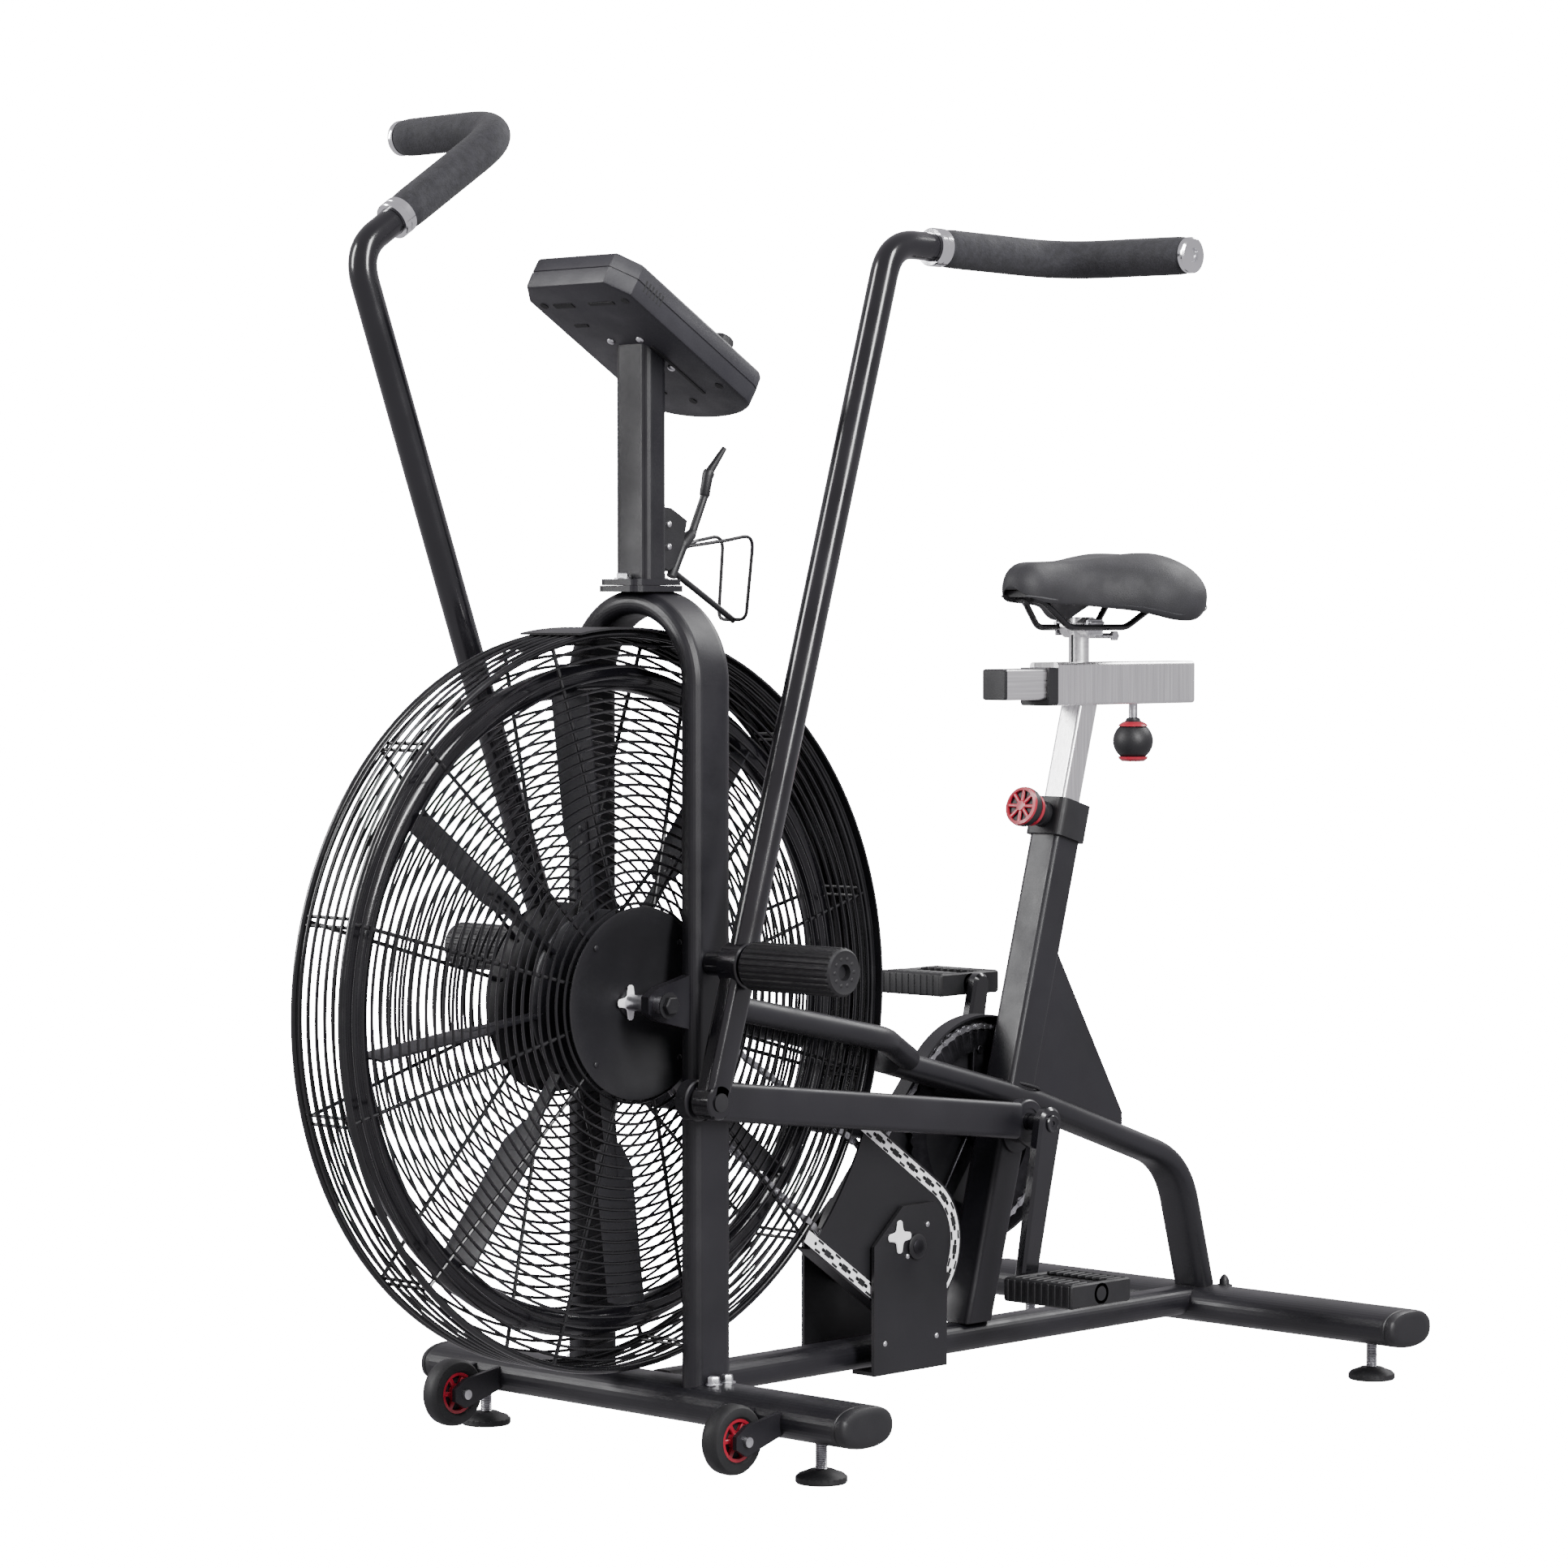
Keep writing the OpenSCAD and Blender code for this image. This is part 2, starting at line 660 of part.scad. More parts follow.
// Everything above the console's underside
module above_console() {
    console_place() translate([-200, -300, -console_h / 2 - 0.1]) cube([400, 600, 200]);
}
dial_x = 46;
dial_y = 50;
// Frame of the console: +Z is the face towards the rider, +Y its lower edge
module console_place() {
    translate([0, console_y, console_z]) rotate([-console_tilt, 0, 0]) children();
}
module console_case() {
    color(dark) console_place() difference() {
        translate([0, 0, -console_h / 2]) linear_extrude(console_h)
            polygon(concat([[-console_w / 2, 24 - console_l / 2],
                [18 - console_w / 2, -console_l / 2], [console_w / 2 - 18, -console_l / 2],
                [console_w / 2, 24 - console_l / 2]],
                [for (a = [0 : 10 : 180])
                    [console_w / 2 * cos(a), console_l / 2 - 34 + 30 * sin(a)]]));
        translate([-48, -100, console_h / 2 - 2.5]) cube([96, 122, 10]);
        translate([dial_x, dial_y, console_h / 2 - 8]) cylinder(h = 20, r = 4 + run_gap);
    }
}
module console_screen() {
    color(black) console_place() translate([-47.8, -99.8, console_h / 2 - 2.4])
        cube([95.6, 121.6, 2]);
}
module console_dial() {
    color(black) console_place() translate([dial_x, dial_y, console_h / 2]) {
        translate([0, 0, -7]) cylinder(h = 8, r = 4);
        translate([0, 0, 0.3]) cylinder(h = 14, r = 12);
    }
}
module bottle_cage() {
    color(black) {
        along_x(-4, 4) polygon([[mast_y + 15.3, 872], [mast_y + 15.3, 926], [-176, 914],
            [-190, 866]]);
        bar([0, -198, 856], [0, -151, 936], 6);
        translate([0, -151, 936]) sphere(r = 6.1);
        bar([0, -151, 936], [0, -122, 984], 6);
        for (s = [-1, 1]) {
            bar([0, -180, 886], [s * 21, -140, 893], 2.5);
            bar([s * 21, -140, 893], [s * 21, -103, 899], 2.5);
            bar([s * 21, -103, 899], [s * 19, -112, 815], 2.5);
            for (p = [[21, -140, 893], [21, -103, 899], [19, -112, 815]])
                translate([s * p.x, p.y, p.z]) sphere(r = 3);
        }
        bar([-19, -112, 815], [19, -112, 815], 2.5);
        bar([0, -198, 864], [0, -108, 813], 3.5);
    }
}
carriage_y0 = 361;
carriage_y1 = 590;
carriage_w = 40;
carriage_h = 46;
slider_w = 33;
slider_h = 33;
slider_y0 = 280;
slider_y1 = 478;
stem_y = 418;
knob_y = 509;
module seat_post() {
    color(silver) difference() {
        union() {
            box_tube(seat_point(400), seat_point(carriage_z - carriage_h / 2 + 3), post_w, post_d, 4);
            translate([0, carriage_y0, carriage_z]) rotate([-90, 0, 0])
                linear_extrude(carriage_y1 - carriage_y0) polygon(rounded(carriage_w, carriage_h, 4));
        }
        translate([0, carriage_y0 - 1, carriage_z]) rotate([-90, 0, 0])
            linear_extrude(carriage_y1 - carriage_y0 - 2) polygon(rounded(slider_w + 1, slider_h + 1, 3));
        translate([-14, stem_y - 62, carriage_z]) cube([28, 165, 60]);
        translate([0, knob_y, carriage_z - 60]) cylinder(h = 60, r = 5 + run_gap);
    }
}
module carriage_bush() {
    color(black) difference() {
        translate([0, carriage_y0 - 0.1, carriage_z]) rotate([90, 0, 0]) linear_extrude(15)
            difference() {
                polygon(rounded(carriage_w, carriage_h, 4));
                polygon(rounded(slider_w + 1, slider_h + 1, 3));
            }
        translate([-60, 0, carriage_z + slider_h / 2 + 1]) cube([120, 500, 60]);
    }
}
module seat_slider() {
    color(silver) {
        translate([0, slider_y0, carriage_z]) rotate([-90, 0, 0])
            linear_extrude(slider_y1 - slider_y0) polygon(rounded(slider_w, slider_h, 3));
        translate([0, stem_y, carriage_z]) cylinder(h = 68, r = 11);
        translate([0, stem_y, 806]) rotate([0, 90, 0]) translate([0, 0, -18]) cylinder(h = 36, r = 11);
    }
}
module saddle_rails() {
    color(black) for (s = [-1, 1]) on_side(s)
        pipe([[14, 344, 838], [22, 372, 806], [22, 470, 806], [34, 512, 838]], 3.5, 14, 2);
}
// Narrowing of the saddle's rounded nose and rounded rear end, t from 0 (nose) to 1 (rear)
function nose(t) = t < 0.08 ? sqrt(1 - pow(1 - t / 0.08, 2)) * 0.6 + 0.4 : 1;
function tail(t) = t > 0.88 ? sqrt(max(0, 1 - pow((t - 0.88) / 0.135, 2))) * 0.75 + 0.25 : 1;
// Half width of the saddle at t
function saddle_half(t) =
    (26 + (saddle_w / 2 - 26) * pow(sin(90 * max(0, (t - 0.18) / 0.82)), 2) * tail(t)) * nose(t);
saddle_y0 = 304;
function saddle_edge(inset, side, t) =
    [saddle_y0 + inset + t * (saddle_l - 2 * inset), side * (saddle_half(t) - inset)];
function saddle_outline(inset, n = 28) = concat(
    [for (i = [0 : n]) saddle_edge(inset, 1, i / n)],
    [for (i = [n : -1 : 0]) saddle_edge(inset, -1, i / n)]);
module saddle_slab(z, h, inset) {
    translate([0, 0, z]) linear_extrude(h) rotate([0, 0, 90]) mirror([0, 1, 0])
        polygon(saddle_outline(inset));
}
module saddle_shell() {
    color(black) saddle_slab(839, 6, 10);
}
module saddle_pad() {
    color(black) {
        saddle_slab(845.3, 27, 1);
        saddle_slab(860, 28, 10);
        difference() {
            saddle_slab(810, 40, 1);
            saddle_slab(800, 45.3, 9.6);
            translate([-200, 0, 0]) cube([400, 430, 1000]);
        }
    }
}
module carriage_knob() {
    color(red) translate([0, knob_y, 0]) {
        translate([0, 0, 704]) cylinder(h = carriage_z - slider_h / 2 - 0.8 - 704, r = 5);
        translate([0, 0, 660]) cylinder(h = 9, r1 = 13, r2 = 22);
        translate([0, 0, 669]) cylinder(h = 24, r = 22);
        translate([0, 0, 693]) cylinder(h = 12, r1 = 22, r2 = 12);
    }
}
module bolts() {
    color(silver) for (s = [-1, 1]) on_side(s) {
        bar_x(leg_x + 14.1, leg_x + 22, fan_y, fan_z, 13);
        difference() {
            for (y = [leg_y - 9, leg_y + 9]) translate([leg_x + 20, y, stab_top - 8])
                cylinder(h = 17, r = 6, $fn = 6);
            stabiliser_body(front_y, 0.1);
        }
        difference() {
            translate([26, rear_y + 18, stab_top - 12]) cylinder(h = 24, r = 5);
            stabiliser_body(rear_y, 0.1);
        }
    }
    color(silver) for (s = [-1, 1]) translate([0, mast_y + s * 25, mast_foot + 6.1])
        cylinder(h = 6, r = 6, $fn = 6);
}

front_stabiliser();
rear_stabiliser();
stabiliser_caps();
base_tube();
fork_leg(1);  // fork_leg_left
fork_leg(-1);  // fork_leg_right
fork_crown();
stay(1);  // stay_left
stay(-1);  // stay_right
top_tube();
seat_tube();
post_collar();
chain_guard();
crank_guard();
chain_trim();
jack_bracket();
cage_face(1);  // cage_left
cage_face(-1);  // cage_right
cage_rim();
cage_plates();
wind_guard();
fan_axle();
fan_wheel();
jackshaft();
drive_chains();
chainring();
crank_side(1);  // crank_left
crank_side(-1);  // crank_right
pedal(1);  // pedal_left
pedal(-1);  // pedal_right
push_rod(1);  // push_rod_left
push_rod(-1);  // push_rod_right
lever(1);  // lever_left
lever(-1);  // lever_right
lever_trim(1);  // lever_trim_left
lever_trim(-1);  // lever_trim_right
grip(1);  // grip_left
grip(-1);  // grip_right
foot_pegs();
wheel(1);  // wheel_left
wheel(-1);  // wheel_right
foot(front_foot_x, front_y);  // foot_front_left
foot(-front_foot_x, front_y);  // foot_front_right
foot(rear_foot_x, rear_y);  // foot_rear_left
foot(-rear_foot_x, rear_y);  // foot_rear_right
mast();
console_case();
console_screen();
console_dial();
bottle_cage();
seat_post();
carriage_bush();
seat_slider();
saddle_rails();
saddle_shell();
saddle_pad();
carriage_knob();
pop_pin();
bolts();
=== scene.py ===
"""Looks of the air bike round its CAD frame. Metres; its front faces -Y and the rider's left is +X."""

import json
import math

import bmesh
import bpy
import numpy as np
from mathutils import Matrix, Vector


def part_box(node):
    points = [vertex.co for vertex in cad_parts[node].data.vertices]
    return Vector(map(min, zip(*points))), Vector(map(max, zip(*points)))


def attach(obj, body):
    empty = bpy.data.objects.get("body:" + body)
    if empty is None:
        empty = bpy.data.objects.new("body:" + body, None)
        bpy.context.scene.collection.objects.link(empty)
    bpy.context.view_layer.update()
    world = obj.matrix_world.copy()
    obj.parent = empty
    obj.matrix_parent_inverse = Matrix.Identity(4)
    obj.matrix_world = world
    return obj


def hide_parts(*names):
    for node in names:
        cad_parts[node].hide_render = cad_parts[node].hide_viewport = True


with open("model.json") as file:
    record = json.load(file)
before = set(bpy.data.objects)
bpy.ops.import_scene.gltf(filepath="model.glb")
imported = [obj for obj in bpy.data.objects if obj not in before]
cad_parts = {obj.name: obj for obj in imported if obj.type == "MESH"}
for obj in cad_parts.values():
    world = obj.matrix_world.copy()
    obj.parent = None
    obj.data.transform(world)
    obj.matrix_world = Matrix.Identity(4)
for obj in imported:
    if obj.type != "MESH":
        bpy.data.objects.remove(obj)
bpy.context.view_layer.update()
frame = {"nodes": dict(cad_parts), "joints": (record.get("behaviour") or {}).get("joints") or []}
NODES = frame["nodes"]
JOINTS = {j["name"]: j for j in frame["joints"]}
MM = 0.001
SIDES = (("left", 1), ("right", -1))
LEFT_RIGHT = ("left", "right")
X_AXIS, Y_AXIS, Z_AXIS = (1, 0, 0), (0, 1, 0), (0, 0, 1)


# ---------------------------------------------------------------- vectors and paths

def vec(*p):
    return np.array(p, float)


def unit(v):
    v = np.asarray(v, float)
    return v / np.linalg.norm(v)


def mm(*values):
    """Millimetres in metres."""
    return tuple(v * MM for v in values)


def scaled(points):
    """Outline points given in millimetres, in metres."""
    return [mm(a, b) for a, b in points]


def joint_at(name):
    return vec(*JOINTS[name]["pos_m"])


def low(node):
    return np.array(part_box(node)[0])


def high(node):
    return np.array(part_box(node)[1])


def mirrored(points, side):
    """Points with X turned to the side asked for: 1 is the rider's left, -1 the right."""
    return [vec(p[0] * side, p[1], p[2]) for p in points]


def rounded_path(points, radius, steps=10):
    """The points' polyline with each corner turned by an arc-like curve."""
    points = [np.asarray(p, float) for p in points]
    out = [points[0]]
    for a, b, c in zip(points, points[1:], points[2:]):
        u, v = unit(b - a), unit(c - b)
        turn = math.acos(max(-1.0, min(1.0, float(u @ v))))
        cut = min(radius * math.tan(turn / 2), 0.49 * min(np.linalg.norm(b - a), np.linalg.norm(c - b)))
        for i in range(steps + 1):
            k = i / steps
            out.append((1 - k) ** 2 * (b - u * cut) + 2 * k * (1 - k) * b + k * k * (b + v * cut))
    out.append(points[-1])
    return out


def oval(w, h, steps=32, power=1.0):
    """Superellipse outline: power 1 is an ellipse, and less is squarer."""
    out = []
    for i in range(steps):
        a = 2 * math.pi * i / steps
        c, s = math.cos(a), math.sin(a)
        out.append((w / 2 * math.copysign(abs(c) ** power, c), h / 2 * math.copysign(abs(s) ** power, s)))
    return out


def rounded_rect(w, h, r, steps=5):
    """Rectangle outline with rounded corners."""
    out = []
    for quarter, (sx, sy) in enumerate(((1, 1), (-1, 1), (-1, -1), (1, -1))):
        for i in range(steps + 1):
            a = math.pi / 2 * (quarter + i / steps)
            out.append((sx * (w / 2 - r) + r * math.cos(a), sy * (h / 2 - r) + r * math.sin(a)))
    return out


def circle(r, steps=24, start=0.0):
    turn = 2 * math.pi / steps
    return [(r * math.cos(start + turn * i), r * math.sin(start + turn * i)) for i in range(steps)]


def inset(outline, amount):
    """The outline moved inwards by amount, vertex by vertex."""
    p = np.asarray(outline, float)
    ahead, behind = np.roll(p, -1, 0) - p, p - np.roll(p, 1, 0)
    normal = np.stack([-(ahead[:, 1] + behind[:, 1]), ahead[:, 0] + behind[:, 0]], 1)
    normal /= np.linalg.norm(normal, axis=1)[:, None] + 1e-12
    area = np.sum(p[:, 0] * np.roll(p[:, 1], -1) - np.roll(p[:, 0], -1) * p[:, 1])
    return p + normal * amount * (1 if area > 0 else -1)


def basis(axis):
    """Two unit vectors square to axis and to each other."""
    axis = unit(axis)
    helper = vec(0, 0, 1) if abs(axis[2]) < 0.9 else vec(0, 1, 0)
    u = unit(np.cross(helper, axis))
    return u, np.cross(axis, u)


# ---------------------------------------------------------------- mesh building

class Shape:
    """Collects the faces of one piece. mat is the number of the material that new faces take."""

    def __init__(self):
        self.verts, self.faces, self.mats = [], [], []
        self.mat = 0

    def paint(self, mat):
        self.mat = mat
        return self

    def add(self, verts, faces):
        start = len(self.verts)
        self.verts += [tuple(float(c) for c in v) for v in verts]
        self.faces += [tuple(start + i for i in f) for f in faces]
        self.mats += [self.mat] * len(faces)
        return self

    def loft(self, sections, loop=False):
        """Skins equal-length closed sections, with the ends capped unless loop joins them."""
        rows, n = len(sections), len(sections[0])
        faces = []
        for i in range(rows if loop else rows - 1):
            a, b = i * n, (i + 1) % rows * n
            faces += [(a + k, a + (k + 1) % n, b + (k + 1) % n, b + k) for k in range(n)]
        if not loop:
            faces += [tuple(range(n))[::-1], tuple((rows - 1) * n + k for k in range(n))]
        return self.add([p for s in sections for p in s], faces)

    def sweep(self, path, section, up=Z_AXIS, loop=False, scale=None):
        """Sweeps a section (side, up) along a path without twisting it."""
        path = np.asarray(path, float)
        ahead = np.roll(path, -1, 0) - path
        back = path - np.roll(path, 1, 0)
        tangents = ahead / np.linalg.norm(ahead, axis=1)[:, None] + back / np.linalg.norm(back, axis=1)[:,
                None]
        if not loop:
            tangents[0], tangents[-1] = ahead[0], back[-1]
        up = np.asarray(up, float)
        sections = []
        for i, (p, t) in enumerate(zip(path, tangents)):
            t = unit(t)
            up = unit(up - (up @ t) * t)
            side = np.cross(t, up)
            k = scale[i] if scale else 1
            sections.append([p + side * a * k + up * b * k for a, b in section])
        return self.loft(sections, loop)

    def tube(self, path, r, steps=16, loop=False, scale=None):
        first = unit(np.asarray(path[1]) - np.asarray(path[0]))
        return self.sweep(path, circle(r, steps), up=basis(first)[0], loop=loop, scale=scale)

    def lathe(self, profile, origin, axis, steps=40, loop=False):
        """Turns a profile of (distance along the axis, radius) about it."""
        axis, origin = unit(axis), np.asarray(origin, float)
        u, v = basis(axis)
        rim = circle(1, steps)
        return self.loft([[origin + axis * d + (u * c + v * s) * r for c, s in rim] for d, r in profile],
                         loop)

    def ring(self, origin, axis, radius, wire, steps=96, sides=6):
        """A wire ring."""
        u, v = basis(axis)
        path = [np.asarray(origin) + (u * c + v * s) * radius for c, s in circle(1, steps)]
        return self.sweep(path, circle(wire, sides), up=unit(axis), loop=True)

    def prism(self, outline, place, x0, x1, bevel=0.0):
        """Extrudes an outline; place(a, b, x) turns outline points and depth into the row frame."""
        levels = [(x0, bevel), (x0 + bevel, 0), (x1 - bevel, 0), (x1, bevel)] if bevel else [(x0, 0), (x1, 0)]
        return self.loft([[place(a, b, x) for a, b in (inset(outline, i) if i else outline)]
                          for x, i in levels])

    def block(self, centre, size, bevel, axes=(X_AXIS, Y_AXIS, Z_AXIS)):
        """A box with rounded edges."""
        a, b, c = (unit(v) for v in axes)
        centre = np.asarray(centre, float)

        def place(p, q, x):
            return centre + a * x + b * p + c * q

        outline = rounded_rect(size[1], size[2], min(bevel * 2, size[1] / 2.01, size[2] / 2.01), 3)
        return self.prism(outline, place, -size[0] / 2, size[0] / 2, bevel)

    def hexagon(self, origin, axis, across, height, washer=True):
        """A hexagon bolt head on a washer."""
        origin, axis = np.asarray(origin, float), unit(axis)
        if washer:
            self.lathe([(0, across * 0.4), (0, across * 0.8), (0.0012, across * 0.8), (0.0012, across * 0.4)],
                       origin, axis, 24)
        r = across / math.sqrt(3)
        base = 0.0012 if washer else 0
        return self.lathe([(base, r), (base + height * 0.8, r), (base + height, r * 0.86),
                           (base + height * 0.96, r * 0.4)], origin, axis, 6)

    def dome(self, origin, axis, r, height, steps=24):
        """A rounded cap."""
        curve = [(height * math.sin(a), r * math.cos(a)) for a in np.linspace(0, 1.5, 7)]
        return self.lathe([(0, r * 0.5)] + curve, origin, axis, steps)


def yz_place(a, b, x):
    return vec(x, a, b)


def piece(name, shape, materials, body, nodes=(), angle=32, subdivide=0, seams=True):
    """Makes a Blender object of a shape, rides it on a CAD body and hides the CAD nodes it stands for."""
    mesh = bpy.data.meshes.new(name)
    mesh.from_pydata(shape.verts, [], shape.faces)
    mesh.polygons.foreach_set("material_index", shape.mats)
    bm = bmesh.new()
    bm.from_mesh(mesh)
    bmesh.ops.recalc_face_normals(bm, faces=bm.faces)
    bm.to_mesh(mesh)
    bm.free()
    for m in materials if isinstance(materials, (list, tuple)) else [materials]:
        mesh.materials.append(m)
    mesh.shade_smooth()
    if seams:
        mesh.set_sharp_from_angle(angle=math.radians(angle))
    obj = bpy.data.objects.new(name, mesh)
    bpy.context.scene.collection.objects.link(obj)
    if subdivide:
        sub = obj.modifiers.new("smooth", "SUBSURF")
        sub.levels = sub.render_levels = subdivide
    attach(obj, body)
    if nodes:
        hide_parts(*nodes)
    return obj


# ---------------------------------------------------------------- materials

class Finish:
    """A Principled material whose colour, roughness and relief come from noise in the object's own space."""

    def __init__(self, name, color, roughness, metallic=0.0, **sockets):
        self.mat = bpy.data.materials.new(name)
        self.mat.use_nodes = True
        self.tree = self.mat.node_tree
        self.shader = self.tree.nodes["Principled BSDF"]
        self.color, self.height = color, None
        self.shader.inputs["Base Color"].default_value = (*color, 1)
        self.shader.inputs["Roughness"].default_value = roughness
        self.shader.inputs["Metallic"].default_value = metallic
        for key, value in sockets.items():
            self.shader.inputs[key.replace("_", " ")].default_value = value
        self.mat.diffuse_color = (*color, 1)

    def node(self, kind, **settings):
        n = self.tree.nodes.new("ShaderNode" + kind)
        for key, value in settings.items():
            setattr(n, key, value)
        return n

    def link(self, a, b):
        self.tree.links.new(a, b)

    def space(self, stretch):
        mapping = self.node("Mapping")
        mapping.inputs["Scale"].default_value = stretch
        self.link(self.node("TexCoord").outputs["Object"], mapping.inputs["Vector"])
        return mapping.outputs["Vector"]

    def noise(self, scale, detail=4.0, stretch=(1, 1, 1)):
        tex = self.node("TexNoise")
        tex.inputs["Scale"].default_value = scale
        tex.inputs["Detail"].default_value = detail
        self.link(self.space(stretch), tex.inputs["Vector"])
        return tex.outputs["Fac"]

    def cells(self, scale, feature="F1", stretch=(1, 1, 1)):
        tex = self.node("TexVoronoi", feature=feature)
        tex.inputs["Scale"].default_value = scale
        self.link(self.space(stretch), tex.inputs["Vector"])
        return tex.outputs["Distance"]

    def tint(self, fac, dark, light, start=0.35, end=0.65):
        """Colour runs between dark and light times the base colour."""
        ramp = self.node("ValToRGB")
        for stop, gain, at in ((0, dark, start), (1, light, end)):
            ramp.color_ramp.elements[stop].position = at
            ramp.color_ramp.elements[stop].color = (*(min(1.0, c * gain) for c in self.color), 1)
        self.link(fac, ramp.inputs["Fac"])
        self.link(ramp.outputs["Color"], self.shader.inputs["Base Color"])
        return self

    def gloss(self, fac, smooth, rough):
        """Roughness runs between smooth and rough."""
        span = self.node("MapRange")
        span.inputs["From Min"].default_value = 0.3
        span.inputs["From Max"].default_value = 0.7
        span.inputs["To Min"].default_value = smooth
        span.inputs["To Max"].default_value = rough
        self.link(fac, span.inputs["Value"])
        self.link(span.outputs["Result"], self.shader.inputs["Roughness"])
        return self

    def relief(self, fac, strength, distance):
        bump = self.node("Bump")
        bump.inputs["Strength"].default_value = strength
        bump.inputs["Distance"].default_value = distance
        self.link(fac, bump.inputs["Height"])
        if self.height:
            self.link(self.height, bump.inputs["Normal"])
        self.height = bump.outputs["Normal"]
        self.link(self.height, self.shader.inputs["Normal"])
        return self


